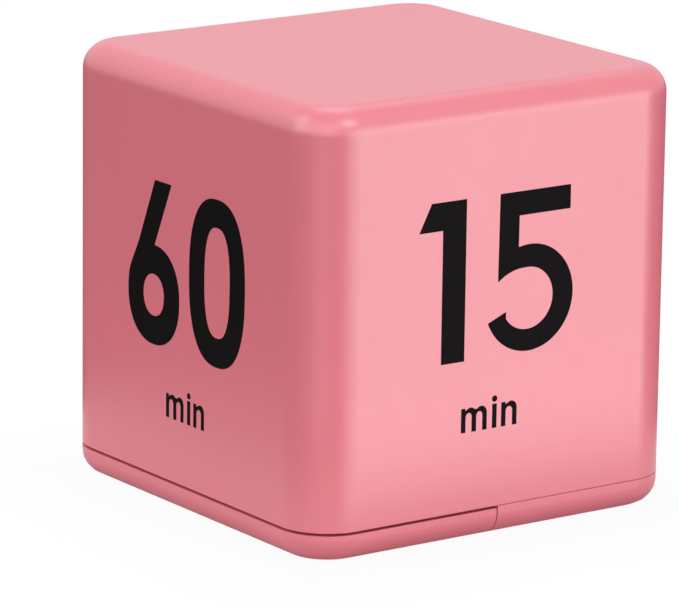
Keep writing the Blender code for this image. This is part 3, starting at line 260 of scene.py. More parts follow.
class Socket:
    """A socket on which sums can be written."""

    def __init__(self, tree, socket):
        self.tree = tree
        self.socket = socket

    def maths(self, operation, *values):
        return self.tree.add("ShaderNodeMath", {"operation": operation}, dict(enumerate(values)))

    def other(self, name):
        """Another socket of the same node."""
        return Socket(self.tree, self.socket.node.outputs[name])

    def __add__(self, other):
        return self.maths("ADD", self, other)

    __radd__ = __add__

    def __sub__(self, other):
        return self.maths("SUBTRACT", self, other)

    def __rsub__(self, other):
        return self.maths("SUBTRACT", other, self)

    def __mul__(self, other):
        return self.maths("MULTIPLY", self, other)

    __rmul__ = __mul__

    def __lt__(self, other):
        return self.maths("LESS_THAN", self, other)

    def __gt__(self, other):
        return self.maths("GREATER_THAN", self, other)

    def __abs__(self):
        return self.maths("ABSOLUTE", self)

    def most(self, other):
        """The larger of two."""
        return self.maths("MAXIMUM", self, other)


class Tree:
    """Adds nodes to a tree."""

    def __init__(self, nodes):
        self.nodes = nodes

    def add(self, kind, settings=(), values=(), output=0):
        """Adds one node, sets it, then fills or links its sockets by name or number."""
        node = self.nodes.nodes.new(kind)
        for name, value in dict(settings).items():
            setattr(node, name, value)
        for name, value in dict(values).items():
            if isinstance(value, Socket):
                self.nodes.links.new(value.socket, node.inputs[name])
            else:
                node.inputs[name].default_value = value
        return Socket(self, node.outputs[output])


class Finish(Tree):
    """A material: a Principled shader, and what varies over the surface."""

    def __init__(self, name, **constants):
        self.material = bpy.data.materials.new(f"{name}_finish")
        self.material.use_nodes = True
        super().__init__(self.material.node_tree)
        self.shader = self.nodes.nodes["Principled BSDF"]
        self.place = self.add("ShaderNodeTexCoord", output="Object")
        for name, value in constants.items():
            self.feed(name.replace("_", " "), value)

    def feed(self, name, value):
        """Sets or links one of the shader's sockets."""
        if isinstance(value, Socket):
            self.nodes.links.new(value.socket, self.shader.inputs[name])
        else:
            self.shader.inputs[name].default_value = value

    def moved(self, origin=(0, 0, 0), scale=(1, 1, 1)):
        """The place on the object, counted from an origin and stretched."""
        location = [-start * factor for start, factor in zip(origin, scale)]
        return self.add("ShaderNodeMapping", {}, {"Vector": self.place, "Location": location, "Scale": scale})

    def along(self, axis, origin=(0, 0, 0)):
        return self.add("ShaderNodeSeparateXYZ", {}, {0: self.moved(origin)}, "XYZ"[axis])

    def noise(self, scale, detail=2.0, stretch=(1, 1, 1)):
        values = {"Vector": self.moved(scale=stretch), "Scale": scale, "Detail": detail}
        return self.add("ShaderNodeTexNoise", {}, values)

    def mixed(self, share, first, second):
        """A colour between two others."""
        colours = [value if isinstance(value, Socket) else (*value[:3], 1.0) for value in (first, second)]
        values = {0: share, 6: colours[0], 7: colours[1]}
        return self.add("ShaderNodeMix", {"data_type": "RGBA"}, values, 2)

    def relief(self, height, depth, edge=0.0):
        """Raises the surface by a height, over edges that are rounded by a radius."""
        values = {"Height": height, "Distance": depth}
        if edge:
            values["Normal"] = self.add("ShaderNodeBevel", {"samples": 6}, {"Radius": edge})
        self.feed("Normal", self.add("ShaderNodeBump", {}, values))


def shade(colour, factor):
    return tuple(min(1.0, share * factor) for share in colour)


def plastic_finish(name, colour, roughness, edge=0.15 * MM, grain=0.6, **constants):
    """Moulded plastic: a fine eroded grain, slight flow clouds and rounded edges."""
    finish = Finish(name, Roughness=roughness, **constants)
    clouds = finish.noise(38.0, 3.0)
    finish.feed("Base Color", finish.mixed(clouds, shade(colour, 0.97), shade(colour, 1.03)))
    finish.feed("Roughness", roughness + 0.08 * (finish.noise(420.0, 4.0) - 0.5))
    finish.relief(finish.noise(5200.0, 3.0), grain * 0.01 * MM, edge)
    return finish.material


def metal_finish(name, colour, roughness, stretch=(1, 1, 1), edge=0.05 * MM, scratch=1.0):
    """Plated or drawn metal: fine drawn lines, dull patches and rounded edges."""
    finish = Finish(name, Metallic=1.0)
    lines = finish.noise(2600.0, 4.0, stretch)
    patches = finish.noise(300.0, 3.0)
    finish.feed("Base Color", finish.mixed(patches, shade(colour, 0.82), shade(colour, 1.08)))
    finish.feed("Roughness", roughness + 0.16 * (lines - 0.5) + 0.10 * (patches - 0.5))
    finish.relief(lines, scratch * 0.006 * MM, edge)
    return finish.material


def window_finish(name, middle, half_x, half_y):
    """Clear plastic that is printed dark round its rim."""
    finish = Finish(name, Roughness=0.06, IOR=1.55)
    over_x = abs(finish.along(0, middle)) - half_x
    over_y = abs(finish.along(1, middle)) - half_y
    rim = over_x.most(over_y) > 0.0
    smears = finish.noise(130.0, 3.0, (1, 3, 1))
    finish.feed("Base Color", finish.mixed(rim, (0.80, 0.84, 0.82), (0.02, 0.02, 0.022)))
    finish.feed("Alpha", 0.14 + 0.04 * smears + 0.86 * rim)
    finish.feed("Roughness", 0.04 + 0.05 * smears)
    return finish.material


def display_finish(name, colour):
    """Display glass over its polariser: even, with a faint sheen of grey and green."""
    finish = Finish(name, IOR=1.5)
    drift = finish.noise(70.0, 2.0)
    finish.feed("Base Color", finish.mixed(drift, shade(colour, 0.95), shade(colour, 1.05)))
    finish.feed("Roughness", 0.14 + 0.06 * finish.noise(900.0, 3.0))
    finish.relief(finish.noise(3000.0, 2.0), 0.001 * MM, 0.08 * MM)
    return finish.material


def strip_finish(name, pitch):
    """Rubber with thin conducting layers between pale ones."""
    finish = Finish(name, Roughness=0.7)
    layers = finish.along(1) * (1 / pitch)
    layer = layers.maths("FRACT", layers)
    finish.feed("Base Color", finish.mixed(layer > 0.5, (0.62, 0.40, 0.38), (0.03, 0.03, 0.03)))
    finish.feed("Roughness", 0.62 + 0.12 * finish.noise(2000.0))
    finish.relief(layer > 0.5, 0.01 * MM, 0.08 * MM)
    return finish.material


def board_finish(name, colour):
    """Circuit board: mask over copper runs, and bare glass fibre on its edges."""
    finish = Finish(name)
    bricks = {"Vector": finish.moved(), "Scale": 95.0, "Mortar Size": 0.022, "Mortar Smooth": 0.3}
    runs = finish.add("ShaderNodeTexBrick", {"offset": 0.35}, bricks, "Fac")
    bricks = {"Vector": finish.moved((0.003, 0.004, 0.0)), "Scale": 41.0, "Mortar Size": 0.012}
    wide = finish.add("ShaderNodeTexBrick", {"offset": 0.2}, bricks, "Fac")
    copper = (runs * (finish.noise(140.0) > 0.52)).most(wide)
    facing = finish.add("ShaderNodeNewGeometry", output="Normal")
    flat = abs(finish.add("ShaderNodeSeparateXYZ", {}, {0: facing}, "Z")) > 0.5
    mask = finish.mixed(copper, colour, shade(colour, 1.9))
    finish.feed("Base Color", finish.mixed(flat, (0.46, 0.44, 0.24), mask))
    finish.feed("Roughness", 0.55 - 0.25 * flat + 0.1 * finish.noise(800.0))
    finish.relief(copper * flat, 0.03 * MM, 0.05 * MM)
    return finish.material


def label_finish(name, colour, middle, toward, reach):
    """Printed foil of a cell: a bright band and a plus mark at the raised end, a minus mark at the flat end."""
    finish = Finish(name)
    x = abs(finish.along(0, middle))
    y = finish.along(1, middle) * toward
    band = (y > reach * 0.52) * (y < reach * 0.94)
    stripe = (y > reach * 0.46) * (y < reach * 0.49)
    plus_y = abs(y - reach * 0.73)
    thin, wide = 0.35 * MM, 1.4 * MM
    plus = ((x < thin) * (plus_y < wide)).most((plus_y < thin) * (x < wide))
    minus = (abs(y + reach * 0.78) < thin) * (x < wide)
    silver = band.most(stripe)
    base = finish.mixed(silver, colour, (0.66, 0.67, 0.68))
    base = finish.mixed(plus, base, colour)
    finish.feed("Base Color", finish.mixed(minus, base, (0.66, 0.67, 0.68)))
    finish.feed("Metallic", 0.35 + 0.45 * silver)
    finish.feed("Roughness", 0.30 + 0.10 * finish.noise(600.0, 3.0))
    finish.relief(finish.noise(900.0, 3.0, (1, 0.2, 1)), 0.004 * MM)
    return finish.material


def foil_finish(name):
    finish = Finish(name, Metallic=1.0)
    creases = finish.noise(260.0, 4.0)
    # The colour is darker where the crease relief is low: painted shade in the hollows of the creases.
    finish.feed("Base Color", finish.mixed(creases, (0.60, 0.60, 0.58), (0.78, 0.78, 0.76)))
    finish.feed("Roughness", 0.28 + 0.2 * creases)
    finish.relief(creases, 0.03 * MM)
    return finish.material


def resin_finish(name):
    """The drop of resin over the chip: glossy, with slow dents."""
    finish = Finish(name)
    finish.feed("Base Color", finish.mixed(finish.noise(500.0), (0.010, 0.010, 0.011), (0.022, 0.022, 0.023)))
    finish.feed("Roughness", 0.18 + 0.15 * finish.noise(300.0))
    finish.relief(finish.noise(230.0, 1.0), 0.25 * MM)
    return finish.material


def make_finishes(colours):
    """All the finishes by name."""
    low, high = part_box("display_window")
    middle = (low + high) / 2
    half_x, half_y = (high.x - low.x) / 2 - WINDOW_RIM, (high.y - low.y) / 2 - WINDOW_RIM
    finishes = {
        "pink_plastic": plastic_finish("pink_plastic", colours.plastic, 0.37, Specular_IOR_Level=1.0),
        "ink": plastic_finish("ink", colours.ink, 0.55, 0.0, 0.4, Specular_IOR_Level=0.03),
        "black_plastic": plastic_finish("black_plastic", colours.dark_plastic, 0.48, 0.12 * MM, 1.0),
        "chip_part": plastic_finish("chip_part", shade(colours.dark_plastic, 1.4), 0.42, 0.06 * MM, 1.0),
        "clear_plastic": window_finish("clear_plastic", middle, half_x, half_y),
        "display_glass": display_finish("display_glass", colours.display),
        "display_segment": display_finish("display_segment", shade(colours.display, 0.80)),
        "foil": foil_finish("foil"),
        "contact_rubber": strip_finish("contact_rubber", 0.5 * MM),
        "board_green": board_finish("board_green", colours.board),
        "resin": resin_finish("resin"),
        "nickel": metal_finish("nickel", (0.66, 0.63, 0.57), 0.26, (1, 6, 1), scratch=0.4),
        "steel": metal_finish("steel", (0.56, 0.57, 0.58), 0.30, (4, 4, 1)),
        "solder": metal_finish("solder", (0.70, 0.70, 0.70), 0.22, scratch=3.0),
        "brass": metal_finish("brass", (0.74, 0.53, 0.22), 0.30),
        "copper": metal_finish("copper", (0.72, 0.30, 0.13), 0.26, (1, 1, 8)),
        "sleeve_ring": plastic_finish("sleeve_ring", (0.70, 0.70, 0.68), 0.5, 0.0),
        "red_sleeve": plastic_finish("red_sleeve", (0.50, 0.02, 0.015), 0.42, 0.0, 1.5),
        "black_sleeve": plastic_finish("black_sleeve", (0.016, 0.016, 0.017), 0.42, 0.0, 1.5),
    }
    for name in ("cell_1", "cell_2"):
        low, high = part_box(name)
        toward = 1 if name == "cell_2" else -1
        reach = (high.y - low.y) / 2
        finishes[name] = label_finish(f"{name}_label", colours.label, (low + high) / 2, toward, reach)
    return finishes


# Meshes


def new_object(name, mesh):
    made = bpy.data.objects.new(name, mesh)
    bpy.context.scene.collection.objects.link(made)
    return made


def bake(made):
    """Turns an object with its modifiers into a plain mesh."""
    bpy.context.view_layer.update()
    mesh = bpy.data.meshes.new_from_object(made.evaluated_get(bpy.context.evaluated_depsgraph_get()))
    mesh.name = made.name
    made.modifiers.clear()
    made.data = mesh
    return made


def from_shape(name, shape, finishes, soften=0.0):
    """An object from a bmesh, with its doubles merged, its faces turned out and its creases softened."""
    bmesh.ops.remove_doubles(shape, verts=shape.verts, dist=MERGE)
    bmesh.ops.recalc_face_normals(shape, faces=shape.faces)
    if soften:
        edges = [edge for edge in shape.edges if edge.is_manifold and edge.calc_face_angle() > CREASE]
        bmesh.ops.bevel(
            shape, geom=edges, offset=soften, segments=2, profile=0.5, affect="EDGES", clamp_overlap=True
        )
    mesh = bpy.data.meshes.new(name)
    shape.to_mesh(mesh)
    shape.free()
    for finish in finishes:
        mesh.materials.append(finish)
    return new_object(name, mesh)


def skin_normal(point, edge, rim):
    """The way out of the cube's rounded skin at a point of its underside, or None away from the skin."""
    across = [abs(point.x) - (HALF - edge), abs(point.y) - (HALF - edge)]
    if min(across) > 0:
        out = Vector((*across, 0.0))
        inset = edge - out.length
    else:
        out = Vector((1.0, 0.0, 0.0) if across[0] > across[1] else (0.0, 1.0, 0.0))
        inset = edge - max(across)
    out.normalize()
    out = Vector((math.copysign(out.x, point.x), math.copysign(out.y, point.y), 0.0))
    rise = max(0.0, rim - point.z)
    if inset > rim and point.z < FLAT:
        return -UP
    level = math.hypot(rim - inset, rise) if rise else rim - inset
    if inset > rim or abs(level - rim) > SKIN:
        return None
    return (out * (rim - inset) - UP * rise).normalized()


def even_skin(made, edge, rim):
    """Shades the rounded skin of a piece of the underside as one smooth form."""
    normals = [normal.vector.copy() for normal in made.data.corner_normals]
    for face in made.data.polygons:
        middle = skin_normal(face.center, edge, rim)
        if middle is None or middle.dot(face.normal) < SKIN_TURN:
            continue
        for corner in face.loop_indices:
            normal = skin_normal(made.data.vertices[made.data.loops[corner].vertex_index].co, edge, rim)
            if normal is not None:
                normals[corner] = normal
    made.data.normals_split_custom_set(normals)


def settle(made, slot, *nodes, body="cube", skin=None):
    """Evens a piece's shading, hides the nodes that it stands for and gives it to their body or to the given one. Its
    slot is not used.
    """
    packed_normals = made.data.attributes.get("custom_normal")
    if packed_normals:
        made.data.attributes.remove(packed_normals)
    made.data.shade_smooth()
    made.data.set_sharp_from_angle(angle=CREASE)
    even = made.modifiers.new("even_shading", "WEIGHTED_NORMAL")
    even.keep_sharp = True
    bake(made)
    if skin:
        even_skin(made, *skin)
    if nodes:
        body = frame["nodes"][nodes[0]]["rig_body"]
        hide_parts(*nodes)
    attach(made, body)
    return made


def loft_shape(rings, loop=False, numbers=None):
    """A bmesh through rings of equally many points, with flat ends or joined from its last ring to its first."""
    shape = bmesh.new()
    loops = [[shape.verts.new(point) for point in ring] for ring in rings]
    pairs = list(zip(loops, loops[1:]))
    if loop:
        pairs.append((loops[-1], loops[0]))
    else:
        shape.faces.new(loops[0])
        shape.faces.new(loops[-1])
    for row, (low, high) in enumerate(pairs):
        for index in range(len(low)):
            after = (index + 1) % len(low)
            face = shape.faces.new((low[index], low[after], high[after], high[index]))
            face.material_index = numbers[row] if numbers else 0
    return shape


def lying(origin, direction=UP):
    """The place of a piece whose Z axis points in a direction."""
    turn = UP.rotation_difference(Vector(direction)).to_matrix().to_4x4()
    return Matrix.Translation(Vector(origin)) @ turn


def turned(name, rows, place, finishes, sides=48, loop=False):
    """A body turned round Z from rows of radius, height and finish number, in millimetres, then placed."""
    rings = []
    for radius, height, *_ in rows:
        angles = [2 * math.pi * side / sides for side in range(sides)]
        rings.append([Vector((radius * math.cos(a), radius * math.sin(a), height)) * MM for a in angles])
    numbers = [row[2] if len(row) > 2 else 0 for row in rows]
    shape = loft_shape(rings, loop, numbers)
    bmesh.ops.transform(shape, matrix=place, verts=shape.verts)
    return from_shape(name, shape, finishes)


def rounded_top(radius, height, soft):
    """Rows of the soft rim round the top of a drum."""
    angles = [QUARTER * step / 4 for step in range(5)]
    return [(radius - soft * (1 - math.cos(a)), height - soft * (1 - math.sin(a))) for a in angles]


def slab_shape(outline, low, high, scale=1.0):
    """A bmesh of a flat outline between two heights."""
    return loft_shape([[Vector((x * scale, y * scale, z)) for x, y in outline] for z in (low, high)])


def crate_shape(low, high):
    corners = ((low[0], low[1]), (high[0], low[1]), (high[0], high[1]), (low[0], high[1]))
    return slab_shape(corners, low[2], high[2])


def joined_shape(shapes):
    """One bmesh of several, which it uses up."""
    whole = bmesh.new()
    for shape in shapes:
        mesh = bpy.data.meshes.new("part")
        shape.to_mesh(mesh)
        shape.free()
        whole.from_mesh(mesh)
    return whole


def crate(name, low, high, finish, soften):
    return from_shape(name, crate_shape(low, high), [finish], soften)


def dressed(node, finish, soften=0.0, name=None):
    """A copy of a CAD node's mesh with whole faces and soft creases."""
    shape = bmesh.new()
    shape.from_mesh(frame["nodes"][node].data)
    bmesh.ops.remove_doubles(shape, verts=shape.verts, dist=MERGE)
    bmesh.ops.dissolve_limit(shape, angle_limit=math.radians(0.5), verts=shape.verts, edges=shape.edges)
    return from_shape(name or f"{node}_piece", shape, [finish], soften)


def carved(made, *cutters):
    """Takes cutters from a piece and removes them."""
    for cutter in cutters:
        carving = made.modifiers.new("carving", "BOOLEAN")
        carving.operation = "DIFFERENCE"
        carving.solver = "EXACT"
        carving.object = cutter
    bake(made)
    while len(made.data.materials) > 1:
        made.data.materials.pop()
    for cutter in cutters:
        bpy.data.objects.remove(cutter)
    return made


def curve_slab(curve, thickness, place):
    """A closed flat curve or text as a slab, placed."""
    curve.extrude = thickness / 2
    flat = new_object("slab", curve)
    bpy.context.view_layer.update()
    mesh = bpy.data.meshes.new_from_object(flat.evaluated_get(bpy.context.evaluated_depsgraph_get()))
    bpy.data.objects.remove(flat)
    mesh.materials.clear()
    mesh.transform(place)
    return mesh


# Geometry Nodes


class Growth(Tree):
    """A Geometry Nodes tree with named inputs that ends in one material."""

    def __init__(self, name, floats=(), numbers=(), objects=()):
        super().__init__(bpy.data.node_groups.new(name, "GeometryNodeTree"))
        rows = [("Geometry", "Geometry"), ("Material", "Material")]
        rows += [(label, "Float") for label in floats]
        rows += [(label, "Int") for label in numbers]
        rows += [(label, "Object") for label in objects]
        for label, kind in rows:
            self.nodes.interface.new_socket(label, in_out="INPUT", socket_type=f"NodeSocket{kind}")
        self.nodes.interface.new_socket("Geometry", in_out="OUTPUT", socket_type="NodeSocketGeometry")
        self.start = self.nodes.nodes.new("NodeGroupInput")

    def given(self, label):
        return Socket(self, self.start.outputs[label])

    def vector(self, x=0.0, y=0.0, z=0.0):
        return self.add("ShaderNodeCombineXYZ", {}, {"X": x, "Y": y, "Z": z})

    def swept(self, path, profile, caps=False):
        return self.add("GeometryNodeCurveToMesh", {}, {"Curve": path, "Profile Curve": profile, "Fill Caps": caps})

    def joined(self, *parts):
        whole = self.add("GeometryNodeJoinGeometry")
        for part in parts:
            self.nodes.links.new(part.socket, whole.socket.node.inputs[0])
        return whole

    def end(self, geometry):
        real = self.add("GeometryNodeRealizeInstances", {}, {"Geometry": geometry})
        coated = {"Geometry": real, "Material": self.given("Material")}
        last = self.add("GeometryNodeSetMaterial", {}, coated)
        self.nodes.links.new(last.socket, self.nodes.nodes.new("NodeGroupOutput").inputs[0])
        return self


def grown(name, growth, finish, values, mesh=None):
    """The plain mesh that a tree makes from its inputs."""
    made = new_object(name, mesh or bpy.data.meshes.new(name))
    modifier = made.modifiers.new("growth", "NODES")
    modifier.node_group = growth.nodes
    for item in growth.nodes.interface.items_tree:
        if item.in_out == "INPUT" and item.name in values:
            modifier[item.identifier] = values[item.name]
        elif item.name == "Material":
            modifier[item.identifier] = finish
    bake(made)
    made.data.materials.clear()
    made.data.materials.append(finish)
    made.data.polygons.foreach_set("material_index", [0] * len(made.data.polygons))
    return made


def shell_growth():
    """The deep moulding: its wall is one outline swept round the rounded square of its flat top."""
    floats = ("Half width", "Height", "Seam", "Edge radius", "Top radius", "Wall", "Softness")
    tree = Growth("rounded_shell", floats, ("Corner steps", "Rim steps"))
    half, height, seam, edge, rim, wall, soft = [tree.given(label) for label in floats]
    side = (half - rim) * 2.0
    square = tree.add("GeometryNodeCurvePrimitiveQuadrilateral", {}, {"Width": side, "Height": side})
    values = {"Curve": square, "Count": tree.given("Corner steps"), "Radius": edge - rim}
    square = tree.add("GeometryNodeFilletCurve", {"mode": "POLY"}, values)
    path = tree.add("GeometryNodeSetCurveNormal", {"mode": "Z_UP"}, {"Curve": square})
    bend = rim - height
    inner = rim - wall
    pieces = []
    for radius in (rim, inner):
        values = {"Resolution": tree.given("Rim steps"), "Radius": radius, "Start Angle": 0.0, "Sweep Angle": -QUARTER}
        arc = tree.add("GeometryNodeCurveArc", {}, values)
        values = {"Geometry": arc, "Translation": tree.vector(0.0, bend)}
        pieces.append(tree.add("GeometryNodeTransform", {}, values))
    corners = ((rim, bend), (rim, 0.0 - seam - soft), (rim - soft, 0.0 - seam), (inner, 0.0 - seam), (inner, bend))
    for start, end in zip(corners, corners[1:]):
        values = {"Start": tree.vector(*start), "End": tree.vector(*end)}
        pieces.append(tree.add("GeometryNodeCurvePrimitiveLine", {}, values))
    wall_mesh = tree.swept(path, tree.joined(*pieces))
    flat = tree.add("GeometryNodeFillCurve", {"mode": "NGONS"}, {"Curve": square})
    lids = []
    for level in (height, height - wall):
        lids.append(tree.add("GeometryNodeTransform", {}, {"Geometry": flat, "Translation": tree.vector(z=level)}))
    whole = tree.joined(wall_mesh, *lids)
    return tree.end(tree.add("GeometryNodeMergeByDistance", {}, {"Geometry": whole, "Distance": 0.001 * MM}))


def coil_growth():
    """A wire wound round Z."""
    floats = ("Turns", "Start radius", "End radius", "Height", "Wire radius")
    tree = Growth("wound_wire", floats, ("Turn steps", "Wire steps"))
    values = {
        "Resolution": tree.given("Turn steps"),
        "Rotations": tree.given("Turns"),
        "Start Radius": tree.given("Start radius"),
        "End Radius": tree.given("End radius"),
        "Height": tree.given("Height"),
    }
    spiral = tree.add("GeometryNodeCurveSpiral", {}, values)
    values = {"Resolution": tree.given("Wire steps"), "Radius": tree.given("Wire radius")}
    return tree.end(tree.swept(spiral, tree.add("GeometryNodeCurvePrimitiveCircle", {}, values), True))


def wire_growth():
    """A round wire along the edges of a mesh, bent smoothly through its points."""
    tree = Growth("laid_wire", ("Wire radius",), ("Points", "Wire steps"))
    line = tree.add("GeometryNodeMeshToCurve", {}, {"Mesh": tree.given("Geometry")})
    line = tree.add("GeometryNodeCurveSplineType", {"spline_type": "CATMULL_ROM"}, {"Curve": line})
    line = tree.add("GeometryNodeResampleCurve", {}, {"Curve": line, "Count": tree.given("Points")})
    values = {"Resolution": tree.given("Wire steps"), "Radius": tree.given("Wire radius")}
    return tree.end(tree.swept(line, tree.add("GeometryNodeCurvePrimitiveCircle", {}, values), True))


def repeat_growth():
    """One part at each point, turned by the point's own angles."""
    tree = Growth("repeated_part", objects=("Part",))
    part = tree.add("GeometryNodeObjectInfo", {}, {"Object": tree.given("Part")}, "Geometry")
    turns = tree.add("GeometryNodeInputNamedAttribute", {"data_type": "FLOAT_VECTOR"}, {"Name": "turns"})
    values = {"Points": tree.given("Geometry"), "Instance": part, "Rotation": turns}
    return tree.end(tree.add("GeometryNodeInstanceOnPoints", {}, values))


def point_mesh(name, points, edges=()):
    mesh = bpy.data.meshes.new(name)
    mesh.from_pydata([Vector(point) for point in points], edges, [])
    return mesh


def repeated(name, part, spots, finish):
    """A piece that repeats a part at spots, each a point and the angles of its turn."""
    mesh = point_mesh(name, [point for point, _ in spots])
    turns = mesh.attributes.new("turns", "FLOAT_VECTOR", "POINT")
    for index, (_, angles) in enumerate(spots):
        turns.data[index].vector = angles
    made = grown(name, repeat_growth(), finish, {"Part": part}, mesh)
    bpy.data.objects.remove(part)
    return made


def settle_turned(name, rows, sides, spots, finish, slot, *nodes):
    """Settles a piece that repeats a turned part at spots."""
    part = turned("part", rows, Matrix.Identity(4), [finish], sides)
    settle(repeated(name, part, spots, finish), slot, *nodes)


def centre(node):
    low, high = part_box(node)
    return (low + high) / 2


def upright(node, foot=None):
    """The place at the foot of a round node that stands up, and its radius and height over it in millimetres."""
    low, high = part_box(node)
    middle = centre(node)
    foot = low.z if foot is None else foot
    return lying((middle.x, middle.y, foot)), (high.x - low.x) / 2 / MM, (high.z - foot) / MM


# The pieces


def make_shell(sizes, finishes):
    """The deep moulding, whole and closed."""
    values = {
        "Half width": HALF - sizes.ink,
        "Height": HEIGHT,
        "Seam": SEAM,
        "Edge radius": sizes.edge_radius,
        "Top radius": sizes.top_radius,
        "Wall": sizes.wall,
        "Softness": sizes.seam_softness,
        "Corner steps": sizes.corner_steps,
        "Rim steps": sizes.rim_steps,
    }
    made = grown("shell_moulding", shell_growth(), finishes["pink_plastic"], values)
    shape = bmesh.new()
    shape.from_mesh(made.data)
    bmesh.ops.remove_doubles(shape, verts=shape.verts, dist=MERGE)
    bmesh.ops.recalc_face_normals(shape, faces=shape.faces)
    shape.to_mesh(made.data)
    shape.free()
    settle(made, "pink_plastic", "shell")


def make_bosses(sizes, finishes):
    """The screw bosses and their webs, inside the shell."""
    foot = BOARD_LOW.z
    top = HEIGHT - sizes.wall * BOSS_REACH
    tall, bore, depth = (top - foot) / MM, 1.15, sizes.boss_depth / MM
    rows = [
        (0.0, depth + 0.5), (bore, depth), (bore, 0.2), (bore + 0.2, 0.0), (1.9, 0.0), (2.1, 0.2), (2.1, tall),
        (0.0, tall),
    ]
    pink = finishes["pink_plastic"]
    places = [centre(f"case_screw_{number}") for number in range(1, 5)]
    spots = [((place.x, place.y, foot), (0, 0, 0)) for place in places]
    settle_turned("shell_bosses", rows, 32, spots, pink, "pink_plastic")
    webs = []
    for (x, y, _), _ in spots:
        corner = abs(abs(x) - abs(y)) < MM
        angle = math.atan2(y, x) if corner else math.copysign(QUARTER, y)
        reach = (HALF - sizes.wall / 2 - abs(y)) * (CORNER_WEB if corner else 1.0)
        web = crate_shape((1.9 * MM, -WEB_HALF, foot), (reach, WEB_HALF, top))
        place = Matrix.Translation((x, y, 0)) @ Matrix.Rotation(angle, 4, "Z")
        bmesh.ops.transform(web, matrix=place, verts=web.verts)
        webs.append(web)
    settle(from_shape("shell_webs", joined_shape(webs), [pink]), "pink_plastic")


def outline_points(row, scale, left, foot):
    """The points of one outline, its arcs in steps of about five degrees."""
    points = []
    for piece in row:
        if len(piece) == 2:
            points.append(piece)
            continue
        middle_x, middle_z, half_x, half_z, first, last, squareness = piece
        steps = max(6, round(abs(last - first) / 5))
        for step in range(steps + 1):
            angle = math.radians(first + (last - first) * step / steps)
            across, up = math.cos(angle), math.sin(angle)
            x = middle_x + half_x * math.copysign(abs(across) ** (2 / squareness), across)
            z = middle_z + half_z * math.copysign(abs(up) ** (2 / squareness), up)
            points.append((x, z))
    return [(left + x * scale, foot + z * scale) for x, z in points]


def make_print(sizes, finishes):
    """The minutes on the four upright faces, as thin slabs of ink."""
    whole = bmesh.new()
    thickness = 3 * sizes.ink
    for quarter_turns, digits, middle in FACES:
        foot = sizes.left_foot if quarter_turns == -1 else sizes.foot
        tall, small = sizes.digit_height, sizes.word_height
        outlines = [outline_points(row, tall, left * tall, foot) for digit, left in digits for row in DIGITS[digit]]
        left = middle * tall - WORD_WIDTH * small / 2
        outlines += [outline_points(row, small, left, foot - sizes.word_drop) for row in WORD]
        curve = bpy.data.curves.new("minutes", "CURVE")
        curve.dimensions = "2D"
        curve.fill_mode = "BOTH"
        for outline in outlines:
            spline = curve.splines.new("POLY")
            spline.points.add(len(outline) - 1)
            for point, (across, up) in zip(spline.points, outline):
                point.co = (across, up, 0.0, 1.0)
            spline.use_cyclic_u = True
        turn = Matrix.Rotation(quarter_turns * QUARTER, 4, "Z")
        place = turn @ Matrix.Translation((0.0, thickness / 2 - HALF, 0.0)) @ Matrix.Rotation(QUARTER, 4, "X")
        whole.from_mesh(curve_slab(curve, thickness, place))
    settle(from_shape("printed_minutes", whole, [finishes["ink"]]), "black_plastic")


def below(middle, reading):
    """The place under the cube of a flat thing that reads along +Y, up along +X."""
    turn = Matrix(((0, 1, 0, 0), (1, 0, 0, 0), (0, 0, -1, 0), (0, 0, 0, 1)))
    return Matrix.Translation((middle[0], middle[1], reading)) @ turn


def word_cutter(text, size, middle, depth):
    """A word to cut into the underside."""
    curve = bpy.data.curves.new("word", "FONT")
    curve.body = text
    curve.size = size
    curve.align_x = curve.align_y = "CENTER"
    curve.resolution_u = 4
    return new_object("word_cutter", curve_slab(curve, 2 * depth, below(middle, 0.0)))


def seamed(made, gap):
    """Moves the rim of a piece of the underside to its gap from the shell."""
    points = made.data.vertices
    rim = max(point.co.z for point in points if max(abs(point.co.x), abs(point.co.y)) > HALF - MERGE)
    for point in points:
        if abs(point.co.z - rim) < MERGE:
            point.co.z = SEAM - gap
    return made


def make_base(sizes, finishes):
    """The fixed half of the underside, with the switch positions engraved beside the knob."""
    made = seamed(dressed("base_chassis", finishes["pink_plastic"], name="base_tray"), sizes.base_seam)
    low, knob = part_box("volume_knob")[0], centre("volume_knob")
    words = []
    for number, text in enumerate(("OFF", "LO", "HI")):
        middle = (knob.x + KNOB_STEP * number, low.y - WORD_GAP)
        words.append(word_cutter(text, WORD_SIZE, middle, sizes.engraving))
    settle(carved(made, *words), "pink_plastic", "base_chassis", skin=(sizes.edge_radius, sizes.under_radius))


def make_door(sizes, finishes):
    """The sliding battery door, with an arrow engraved towards its way off."""
    made = seamed(dressed("battery_door", finishes["pink_plastic"], name="door_cover"), sizes.door_seam)
    outline = ((-13.6, 0.0), (-10.6, 2.4), (-10.6, 1.0), (-7.0, 1.0), (-7.0, -1.0), (-10.6, -1.0), (-10.6, -2.4))
    arrow = from_shape("arrow_cutter", slab_shape(outline, -sizes.engraving, sizes.engraving, MM), [])
    settle(carved(made, arrow), "pink_plastic", "battery_door", skin=(sizes.edge_radius, sizes.under_radius))


